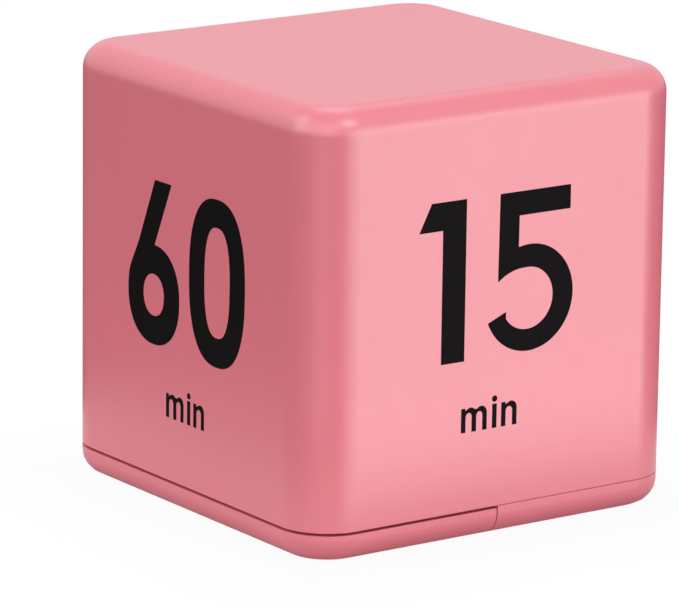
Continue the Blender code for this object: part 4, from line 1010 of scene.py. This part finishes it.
def make_cells(sizes, finishes):
    """Two cells: a wrapped label, steel ends, a pale ring and a raised end."""
    wrap = sizes.cell_wrap / MM
    for name, toward in (("cell_1", -1), ("cell_2", 1)):
        low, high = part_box(name)
        radius, reach = (high.x - low.x) / 2 / MM, (high.y - low.y) / MM
        shoulder = reach - 0.9
        rows = [
            (0.0, 0.25, 1), (2.6, 0.25, 1), (3.2, 0.0, 1), (radius - 0.9, 0.0, 1), (radius - 0.45, 0.18, 1),
            (radius - 0.3, wrap - 0.2, 0), (radius, wrap, 0), (radius, shoulder - wrap * 0.5, 0),
            (radius - 0.35, shoulder - 0.1, 0), (radius - 0.9, shoulder, 2), (2.9, shoulder, 2),
            (2.8, shoulder - 0.15, 1), (2.0, shoulder - 0.1, 1), (1.8, shoulder + 0.05, 1), (1.72, reach - 0.25, 1),
            (1.5, reach, 1), (0.0, reach, 1),
        ]
        end = low if toward > 0 else high
        place = lying(((low.x + high.x) / 2, end.y, (low.z + high.z) / 2), (0, toward, 0))
        made = turned(f"{name}_body", rows, place, [finishes[name], finishes["steel"], finishes["sleeve_ring"]], 64)
        settle(made, "cell_label", name)


def make_contacts(sizes, finishes):
    """Contact plates with soft edges, and their springs."""
    nickel = finishes["nickel"]
    for node in ("bridge_plate", "positive_contact", "negative_contact"):
        settle(dressed(node, nickel, 0.08 * MM), "nickel", node)
    for node, side in (("bridge_spring", 1), ("negative_spring", -1)):
        low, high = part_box(node)
        wire = sizes.spring_wire
        values = {
            "Turns": float(sizes.spring_turns),
            "Start radius": (high.x - low.x - wire) / 2,
            "End radius": 1.45 * MM,
            "Height": high.y - low.y - wire,
            "Wire radius": wire / 2,
            "Turn steps": 40,
            "Wire steps": 14,
        }
        made = grown(f"{node}_wire", coil_growth(), nickel, values)
        base = high.y - wire / 2 if side > 0 else low.y + wire / 2
        made.data.transform(lying(((low.x + high.x) / 2, base, (low.z + high.z) / 2), (0, -side, 0)))
        settle(made, "nickel", node)


def make_leads(sizes, finishes):
    """The red and the black lead, from a tab of the bay to the board."""
    right = BOARD_LOW.x - LEAD_GAP
    for colour_name, tab in (("red", "positive_contact"), ("black", "negative_contact")):
        low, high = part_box(f"{colour_name}_lead")
        tab_low, tab_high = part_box(tab)
        x, start_y, tab_top = centre(tab).x, tab_low.y + LEAD_INSET, tab_high.z
        radius = sizes.lead / 2
        pad = Vector((high.x - radius, high.y - radius, low.z))
        ride = tab_top + LEAD_BEND
        knots = [
            (x, start_y, tab_top - sizes.lead),
            (x, start_y + LEAD_BEND, tab_top),
            ((2 * x + right) / 3, (2 * start_y + pad.y) / 3, ride),
            ((x + 2 * right) / 3, (start_y + 2 * pad.y) / 3, ride),
            (pad.x, pad.y, low.z + LEAD_BEND),
            (pad.x, pad.y, low.z - LEAD_SINK),
        ]
        mesh = point_mesh("route", knots, [(step, step + 1) for step in range(len(knots) - 1)])
        values = {"Wire radius": radius, "Points": 60, "Wire steps": 16}
        made = grown(f"{colour_name}_wire", wire_growth(), finishes[f"{colour_name}_sleeve"], values, mesh)
        settle(made, f"{colour_name}_sleeve", f"{colour_name}_lead")


def make_board(sizes, finishes):
    """The board, its solder joints and the chip under resin."""
    settle(dressed("main_board", finishes["board_green"], 0.05 * MM), "board_green", "main_board")
    spots = []
    for lead in ("red_lead", "black_lead"):
        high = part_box(lead)[1]
        spots.append(((high.x - sizes.lead / 2, high.y - sizes.lead / 2, BOARD_HIGH.z), (0, 0, 0)))
    for node in ("capacitor_1", "capacitor_2", "coil", "crystal", "transistor"):
        middle = centre(node)
        for side in (-SOLDER_STEP, SOLDER_STEP):
            spots.append(((middle.x + side, middle.y, BOARD_LOW.z), (2 * QUARTER, 0, 0)))
    rows = [(0.0, 0.62), (0.3, 0.6), (0.5, 0.45), (0.7, 0.2), (0.95, 0.05), (1.0, 0.0), (0.0, 0.0)]
    settle_turned("solder_joints", rows, 20, spots, finishes["solder"], "nickel")
    place, radius, height = upright("chip_blob", BOARD_HIGH.z)
    angles = [QUARTER * step / 12 for step in range(12)]
    rows = [(radius * 0.98, 0.0), *[(radius * math.cos(a) ** 0.7, height * math.sin(a)) for a in angles], (0.0, height)]
    settle(turned("chip_drop", rows, place, [finishes["resin"]]), "black_plastic", "chip_blob")


def make_cans(finishes):
    """The crystal, which lies along the board, and two upright capacitors."""
    low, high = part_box("crystal")
    middle = centre("crystal")
    radius, reach = (high.x - low.x) / 2 / MM, (high.y - low.y) / MM
    rows = [(0.0, 0.0), (radius - 0.25, 0.0), (radius - 0.1, 0.15), (radius - 0.1, 0.4), (radius, 0.5)]
    rows += [*rounded_top(radius, reach, 0.3), (0.0, reach)]
    made = turned("crystal_can", rows, lying((middle.x, low.y, middle.z), (0, 1, 0)), [finishes["nickel"]])
    settle(made, "nickel", "crystal")
    for node in ("capacitor_1", "capacitor_2"):
        place, radius, top = upright(node, BOARD_HIGH.z)
        rows = [
            (0.0, 0.05), (radius - 0.3, 0.05), (radius - 0.1, 0.3), (radius, 0.55), (radius, 1.0), (radius - 0.3, 1.3),
            (radius, 1.6), (radius, top - 0.25), (radius - 0.25, top), (radius - 0.7, top, 1),
            (radius - 0.8, top - 0.1, 1), (0.0, top - 0.1),
        ]
        made = turned(f"{node}_can", rows, place, [finishes["black_plastic"], finishes["solder"]])
        settle(made, "black_plastic", node)


def make_coil(sizes, finishes):
    """The coil: a core between two flanges, and its winding."""
    place, radius, top = upright("coil", BOARD_HIGH.z)
    rows = [
        (0.0, 0.0), (radius - 0.1, 0.0), (radius, 0.1), (radius, 0.95), (radius - 0.1, 1.05), (1.8, 1.05),
        (1.8, top - 0.8), (radius - 0.1, top - 0.8), (radius, top - 0.7), (radius, top - 0.1), (radius - 0.1, top),
        (0.0, top),
    ]
    settle(turned("coil_core", rows, place, [finishes["chip_part"]]), "chip_part", "coil")
    wire = sizes.winding_wire
    start, flanges = 1.1, 1.95  # the winding's foot, and how much of the coil's height has no wire
    reach = (top - flanges) * MM
    values = {
        "Turns": float(max(3, int(reach / wire))), "Start radius": WINDING_RADIUS, "End radius": WINDING_RADIUS,
        "Height": reach - wire, "Wire radius": wire / 2, "Turn steps": 36, "Wire steps": 8,
    }
    winding = grown("coil_winding", coil_growth(), finishes["copper"], values)
    middle = centre("coil")
    winding.data.transform(lying((middle.x, middle.y, BOARD_HIGH.z + start * MM + wire / 2)))
    settle(winding, "copper")


def make_board_parts(sizes, finishes):
    """Crystal, capacitors, coil, transistor and resistors."""
    make_cans(finishes)
    make_coil(sizes, finishes)
    dark, tin, face = finishes["chip_part"], finishes["solder"], BOARD_HIGH.z
    low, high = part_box("transistor")
    low.z = face + 0.1 * MM
    settle(crate("transistor_body", low, high, dark, 0.12 * MM), "chip_part", "transistor")
    middle = (low + high) / 2
    legs = []
    for x, side in ((-0.95, -1), (0.95, -1), (0.0, 1)):
        foot = middle.x + x * MM
        y = sorted((middle.y + side * 0.7 * MM, middle.y + side * 1.45 * MM))
        legs.append(crate_shape((foot - 0.2 * MM, y[0], face), (foot + 0.2 * MM, y[1], face + 0.18 * MM)))
    settle(from_shape("transistor_legs", joined_shape(legs), [tin], 0.04 * MM), "nickel")
    for node in ("resistor_1", "resistor_2"):
        low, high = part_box(node)
        low.z = face
        inner_low, inner_high = low.copy(), high.copy()
        inner_low.x += CAP_WIDTH
        inner_high.x -= CAP_WIDTH
        made = crate(f"{node}_body", inner_low + 0.03 * MM * UP, inner_high, dark, 0.05 * MM)
        settle(made, "chip_part", node)
        top = high.z - CAP_LAP
        caps = joined_shape([
            crate_shape(low, (inner_low.x + CAP_LAP, high.y, top)),
            crate_shape((inner_high.x - CAP_LAP, low.y, low.z), (high.x, high.y, top)),
        ])
        settle(from_shape(f"{node}_caps", caps, [tin], 0.06 * MM), "nickel")


def make_display(sizes, finishes):
    """Window, glasses, reflector and strip, and the faint segments of the display that is off."""
    for node, finish, soften in (
        ("display_window", "clear_plastic", 0.12 * MM),
        ("lcd_front_glass", "display_glass", 0.1 * MM),
        ("lcd_rear_glass", "display_glass", 0.1 * MM),
        ("lcd_reflector", "foil", 0.02 * MM),
        ("contact_strip", "contact_rubber", 0.15 * MM),
    ):
        settle(dressed(node, finishes[finish], soften), finish, node)
    middle = centre("display_window")
    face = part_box("lcd_front_glass")[0].z
    outline = ((-1.5, 0.0), (-1.15, 0.36), (1.15, 0.36), (1.5, 0.0), (1.15, -0.36), (-1.15, -0.36))
    part = from_shape("segment", slab_shape(outline, -0.02 * MM, 0.0, MM), [])
    # Each segment's row and column in its digit, and whether it stands upright
    segments = ((-1, 0, 0), (0, 0, 0), (1, 0, 0), (-0.5, -1, 1), (0.5, -1, 1), (-0.5, 1, 1), (0.5, 1, 1))
    spots = []
    for digit in DIGITS_ALONG:
        for row, column, stands in segments:
            point = (middle.x + SEGMENT_ROW * row * MM, middle.y + (digit + SEGMENT_COLUMN * column) * MM, face)
            spots.append((point, (0.0, 0.0, 0.0 if stands else QUARTER)))
    settle(repeated("display_segments", part, spots, finishes["display_segment"]), "display_glass")


def make_buzzer(sizes, finishes):
    """The buzzer's case and its brass disc."""
    place, radius, tall = upright("buzzer_case")
    radius += 0.05
    rows = [
        (1.5, 0.1), (1.6, 0.0), (radius - 0.3, 0.0), (radius, 0.3), (radius, tall - 0.2), (radius - 0.15, tall),
        (radius - 0.6, tall), (radius - 0.7, tall - 0.1), (radius - 0.7, 1.9), (radius - 1.6, 1.9), (radius - 1.6, 0.7),
        (1.5, 0.7),
    ]
    made = turned("buzzer_drum", rows, place, [finishes["black_plastic"]], 64, True)
    settle(made, "black_plastic", "buzzer_case")
    radius, tall = upright("buzzer_disc")[1:]
    rows = [
        (0.0, 0.0), (radius - 0.08, 0.0), (radius, 0.1), (radius, tall - 0.18), (radius - 0.08, tall - 0.1),
        (3.4, tall - 0.1, 1), (3.35, tall, 1), (0.0, tall),
    ]
    middle = centre("buzzer_case")
    place = lying((middle.x, middle.y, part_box("buzzer_disc")[0].z))
    made = turned("buzzer_plate", rows, place, [finishes["brass"], finishes["solder"]], 64)
    settle(made, "brass", "buzzer_disc")


def make_switch(sizes, finishes):
    """The volume switch: its case, its lever and the knob under the cube."""
    for node, finish, soften in (
        ("switch_case", "nickel", 0.1 * MM),
        ("switch_lever", "black_plastic", 0.08 * MM),
        ("volume_knob", "black_plastic", 0.1 * MM),
    ):
        settle(dressed(node, finishes[finish], soften), finish, node)


def make_tilt_switches(sizes, finishes):
    """Four cans in a cross, each with a plug, a pin and a ball."""
    cans, plugs, balls = ([f"tilt_{kind}_{number}" for number in range(1, 5)] for kind in ("can", "plug", "ball"))
    middle = sum((centre(can) for can in cans), Vector()) / 4
    spots = []
    for can in cans:
        away = (centre(can) - middle).normalized()
        spots.append((middle + away * TILT_START, UP.rotation_difference(away).to_euler()))
    rows = [
        (0.0, 0.0), (1.6, 0.0), (1.9, 0.12), (2.0, 0.4), (2.0, 7.6), (1.93, 7.75), (1.93, 8.0), (2.0, 8.15),
        (2.0, 8.45), (1.9, 8.6), (1.6, 8.6), (1.6, 0.4), (0.0, 0.4),
    ]
    settle_turned("tilt_cans", rows, 32, spots, finishes["nickel"], "nickel", *cans)
    rows = [(0.0, 6.6), (1.3, 6.6), (1.4, 6.7), (1.4, 8.4), (1.3, 8.5), (0.35, 8.5), (0.0, 8.5)]
    settle_turned("tilt_plugs", rows, 32, spots, finishes["black_plastic"], "black_plastic", *plugs)
    angles = [QUARTER * step / 4 for step in range(1, 5)]
    rows = [(0.0, 5.8), *[(0.35 * math.sin(a), 6.15 - 0.35 * math.cos(a)) for a in angles], (0.35, 8.6), (0.0, 8.6)]
    settle_turned("tilt_pins", rows, 20, spots, finishes["brass"], "brass")
    angles = [QUARTER * step / 12 for step in range(-12, 13)]
    rows = [(1.4 * math.cos(a), 1.4 * math.sin(a)) for a in angles]
    for ball in balls:
        settle(turned(f"{ball}_bead", rows, lying(centre(ball)), [finishes["steel"]]), "steel", ball)


def screw_part(sizes, reach, finish):
    """A screw with its seat at the origin: a domed head below with a cross recess, and a threaded shaft above."""
    rows = [(0.0, -1.3), (0.9, -1.24), (1.35, -1.0), (1.65, -0.6), (1.7, -0.3), (1.7, -0.05), (1.65, 0.0), (0.95, 0.0)]
    pitch = sizes.thread_pitch / MM
    height = 0.5
    while height < reach - 1.2:
        rows += [(0.78, height), (0.98, height + pitch * 0.45), (0.98, height + pitch * 0.55)]
        height += pitch
    rows += [(0.78, height), (0.55, reach - 0.2), (0.0, reach)]
    part = turned("screw", rows, Matrix.Identity(4), [finish], 32)
    cross = []
    for size in ((0.95, 0.2), (0.2, 0.95)):
        low = (-size[0] * MM, -size[1] * MM, -2.0 * MM)
        cross.append(crate("cross", low, (size[0] * MM, size[1] * MM, -0.65 * MM), finish, 0.0))
    return carved(part, *cross)


def make_screws(sizes, finishes):
    """Four case screws from below and three board screws from above."""
    for kind, total, reach, turn in (("case", 4, 8.0, 0.0), ("board", 3, 4.0, 2 * QUARTER)):
        nodes = [f"{kind}_screw_{number}" for number in range(1, total + 1)]
        spots = []
        for node in nodes:
            low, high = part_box(node)
            middle = centre(node)
            seat = high.z - SCREW_HEAD if turn else low.z + SCREW_HEAD
            spots.append(((middle.x, middle.y, seat), (turn, 0.0, 0.0)))
        part = screw_part(sizes, reach, finishes["steel"])
        settle(repeated(f"{kind}_screws", part, spots, finishes["steel"]), "steel", *nodes)


def eyes(tree):
    """One for the rays that look at the backdrop: the camera's, and those of gloss and glass."""
    path = tree.add("ShaderNodeLightPath", output="Is Camera Ray")
    return path.most(path.other("Is Glossy Ray").most(path.other("Is Transmission Ray")))


def stage_finish(colours, studio):
    """A white table that keeps the cube's shadow, fades into the backdrop and is clear from underneath."""
    finish = Finish("studio_floor")
    nodes = finish.nodes
    x, y = finish.along(0), finish.along(1)
    reach = abs(x).most(abs(y))
    start, speed = 0.5 * TABLE, 2.5 / TABLE
    fade = reach.maths("MINIMUM", 1.0, (reach.most(start) - start) * speed)
    white = studio.glow + (1.0 - studio.glow) * fade
    below = reach < HALF - UNDER_INSET
    near = finish.add("ShaderNodeLightPath", output="Ray Length") < NEAR
    under = below.most(near) * studio.under
    ring = (1.0 - below) * (1.0 - (reach - HALF) * (2.0 / HALF)).most(0.0)
    looking = eyes(finish) * (1.0 - ring * finish.add("ShaderNodeLightPath", output="Is Glossy Ray"))
    light = finish.add("ShaderNodeEmission", {}, {"Color": (*colours.backdrop, 1.0), "Strength": 1.0})
    paint = finish.add("ShaderNodeBsdfDiffuse", {}, {"Color": (*colours.table, 1.0)})
    lit = finish.add("ShaderNodeMixShader", {}, {0: looking * (white - under) + under, 1: paint, 2: light})
    clear = finish.add("ShaderNodeBsdfTransparent")
    back = finish.add("ShaderNodeNewGeometry", output="Backfacing")
    seen = finish.add("ShaderNodeMixShader", {}, {0: back, 1: lit, 2: clear})
    nodes.links.new(seen.socket, nodes.nodes["Material Output"].inputs["Surface"])
    nodes.nodes.remove(finish.shader)
    return finish.material


def lamp(name, strength, round_about, above, width, height):
    """A softbox that faces the cube from a metre away."""
    light = bpy.data.lights.new(name, "AREA")
    light.shape = "RECTANGLE"
    light.size = width
    light.size_y = height
    light.energy = strength * width * height
    made = bpy.data.objects.new(name, light)
    bpy.context.scene.collection.objects.link(made)
    turn, rise = math.radians(round_about), math.radians(above)
    away = Vector((math.sin(turn) * math.cos(rise), -math.cos(turn) * math.cos(rise), math.sin(rise)))
    made.location = away + HEIGHT / 2 * UP
    made.rotation_euler = (-away).to_track_quat("-Z", "Y").to_euler()


def make_world(colours, studio):
    """White to the camera, paler below the horizon to gloss, and a plain light to everything else."""
    world = bpy.data.worlds.new("studio_air")
    world.use_nodes = True
    tree = Tree(world.node_tree)
    place = tree.add("ShaderNodeTexCoord", output="Generated")
    height = tree.add("ShaderNodeSeparateXYZ", {}, {0: place}, "Z")
    plain = studio.world + studio.rear * height.other("Y").most(0.0)
    shape = studio.horizon + (1.0 - studio.horizon) * (height > 0.0)
    level = shape * (plain + (1.0 - plain) * eyes(tree))
    level = level.most(tree.add("ShaderNodeLightPath", output="Is Camera Ray"))
    world.node_tree.links.new(level.socket, world.node_tree.nodes["Background"].inputs["Strength"])
    world.node_tree.nodes["Background"].inputs["Color"].default_value = (*colours.backdrop, 1.0)
    bpy.context.scene.world = world


def make_camera():
    """The photograph's camera."""
    yaw, pitch, roll = [math.radians(angle) for angle in CAMERA_ANGLES]
    ahead = Vector((math.sin(yaw) * math.cos(pitch), math.cos(yaw) * math.cos(pitch), -math.sin(pitch)))
    right = Vector((math.cos(yaw), -math.sin(yaw), 0.0))
    up = right.cross(ahead)
    right, up = math.cos(roll) * right + math.sin(roll) * up, math.cos(roll) * up - math.sin(roll) * right
    view = bpy.data.cameras.new("photo_view")
    view.lens = CAMERA_LENS
    view.sensor_width = 36.0
    view.clip_start = 0.01
    made = bpy.data.objects.new("photo_view", view)
    bpy.context.scene.collection.objects.link(made)
    made.matrix_world = Matrix.Translation(CAMERA_PLACE) @ Matrix((right, up, -ahead)).transposed().to_4x4()
    bpy.context.scene.camera = made


def make_studio(colours, studio):
    bpy.context.scene.view_settings.view_transform = "Standard"
    floor = new_object("studio_floor", bpy.data.meshes.new("studio_floor"))
    corners = [(x * TABLE, y * TABLE, -TABLE_DROP) for x, y in ((-1, -1), (1, -1), (1, 1), (-1, 1))]
    floor.data.from_pydata(corners, [], [(0, 1, 2, 3)])
    floor.data.materials.append(stage_finish(colours, studio))
    make_world(colours, studio)
    for name, *place in LAMPS:
        lamp(name, getattr(studio, name.split("_")[0]), *place)
    make_camera()


# Operators


FINISHES = {}


def run(context, *makers):
    """Makes pieces from the scene's sizes and the finishes, which are made once."""
    if not FINISHES:
        FINISHES.update(make_finishes(context.scene.cube_timer_colours))
    for make in makers:
        make(context.scene.cube_timer_sizes, FINISHES)
    return {"FINISHED"}


class CUBETIMER_OT_shell(bpy.types.Operator):
    """Makes the deep moulding"""

    bl_idname = "cubetimer.shell"
    bl_label = "Shell"

    def execute(self, context):
        return run(context, make_shell, make_bosses)


class CUBETIMER_OT_print(bpy.types.Operator):
    """Prints the minutes on the four upright faces"""

    bl_idname = "cubetimer.print"
    bl_label = "Printed minutes"

    def execute(self, context):
        return run(context, make_print)


class CUBETIMER_OT_base(bpy.types.Operator):
    """Makes the fixed half of the underside"""

    bl_idname = "cubetimer.base"
    bl_label = "Base"

    def execute(self, context):
        return run(context, make_base)


class CUBETIMER_OT_door(bpy.types.Operator):
    """Makes the sliding half of the underside"""

    bl_idname = "cubetimer.door"
    bl_label = "Battery door"

    def execute(self, context):
        return run(context, make_door)


class CUBETIMER_OT_cells(bpy.types.Operator):
    """Makes the two cells"""

    bl_idname = "cubetimer.cells"
    bl_label = "Cells"

    def execute(self, context):
        return run(context, make_cells)


class CUBETIMER_OT_contacts(bpy.types.Operator):
    """Makes the contact plates and springs"""

    bl_idname = "cubetimer.contacts"
    bl_label = "Contacts"

    def execute(self, context):
        return run(context, make_contacts)


class CUBETIMER_OT_leads(bpy.types.Operator):
    """Lays the two battery leads"""

    bl_idname = "cubetimer.leads"
    bl_label = "Leads"

    def execute(self, context):
        return run(context, make_leads)


class CUBETIMER_OT_board(bpy.types.Operator):
    """Makes the board, its solder and the chip"""

    bl_idname = "cubetimer.board"
    bl_label = "Board"

    def execute(self, context):
        return run(context, make_board)


class CUBETIMER_OT_board_parts(bpy.types.Operator):
    """Makes the small parts on the board"""

    bl_idname = "cubetimer.board_parts"
    bl_label = "Board parts"

    def execute(self, context):
        return run(context, make_board_parts)


class CUBETIMER_OT_display(bpy.types.Operator):
    """Makes the window and the display"""

    bl_idname = "cubetimer.display"
    bl_label = "Display"

    def execute(self, context):
        return run(context, make_display)


class CUBETIMER_OT_buzzer(bpy.types.Operator):
    """Makes the buzzer"""

    bl_idname = "cubetimer.buzzer"
    bl_label = "Buzzer"

    def execute(self, context):
        return run(context, make_buzzer)


class CUBETIMER_OT_switch(bpy.types.Operator):
    """Makes the volume switch and its knob"""

    bl_idname = "cubetimer.switch"
    bl_label = "Volume switch"

    def execute(self, context):
        return run(context, make_switch)


class CUBETIMER_OT_tilt(bpy.types.Operator):
    """Makes the four tilt switches and their balls"""

    bl_idname = "cubetimer.tilt"
    bl_label = "Tilt switches"

    def execute(self, context):
        return run(context, make_tilt_switches)


class CUBETIMER_OT_screws(bpy.types.Operator):
    """Makes the case screws and the board screws"""

    bl_idname = "cubetimer.screws"
    bl_label = "Screws"

    def execute(self, context):
        return run(context, make_screws)


class CUBETIMER_OT_studio(bpy.types.Operator):
    """Makes the floor, the lamps and the camera"""

    bl_idname = "cubetimer.studio"
    bl_label = "Studio"

    def execute(self, context):
        make_studio(context.scene.cube_timer_colours, context.scene.cube_timer_studio)
        return {"FINISHED"}


OPERATORS = (
    CUBETIMER_OT_shell,
    CUBETIMER_OT_print,
    CUBETIMER_OT_base,
    CUBETIMER_OT_door,
    CUBETIMER_OT_cells,
    CUBETIMER_OT_contacts,
    CUBETIMER_OT_leads,
    CUBETIMER_OT_board,
    CUBETIMER_OT_board_parts,
    CUBETIMER_OT_display,
    CUBETIMER_OT_buzzer,
    CUBETIMER_OT_switch,
    CUBETIMER_OT_tilt,
    CUBETIMER_OT_screws,
    CUBETIMER_OT_studio,
)
GROUPS = {
    "cube_timer_sizes": CubeTimerSizes,
    "cube_timer_colours": CubeTimerColours,
    "cube_timer_studio": CubeTimerStudio,
}


class CUBETIMER_PT_panel(bpy.types.Panel):
    """Lists the pieces and their sizes, colours and lamps"""

    bl_label = "Cube timer"
    bl_idname = "CUBETIMER_PT_panel"
    bl_space_type = "VIEW_3D"
    bl_region_type = "UI"
    bl_category = "Cube timer"

    def draw(self, context):
        for operator in OPERATORS:
            self.layout.operator(operator.bl_idname)
        for name, group in GROUPS.items():
            box = self.layout.box()
            for field in group.__annotations__:
                box.prop(getattr(context.scene, name), field)


def register():
    for entry in (*GROUPS.values(), *OPERATORS, CUBETIMER_PT_panel):
        bpy.utils.register_class(entry)
    for name, group in GROUPS.items():
        setattr(bpy.types.Scene, name, bpy.props.PointerProperty(type=group))


def unregister():
    for name in GROUPS:
        delattr(bpy.types.Scene, name)
    for entry in reversed((*GROUPS.values(), *OPERATORS, CUBETIMER_PT_panel)):
        bpy.utils.unregister_class(entry)


def main():
    register()
    for operator in OPERATORS:
        getattr(bpy.ops.cubetimer, operator.bl_idname.split(".")[1])()


if __name__ == "__main__":
    main()
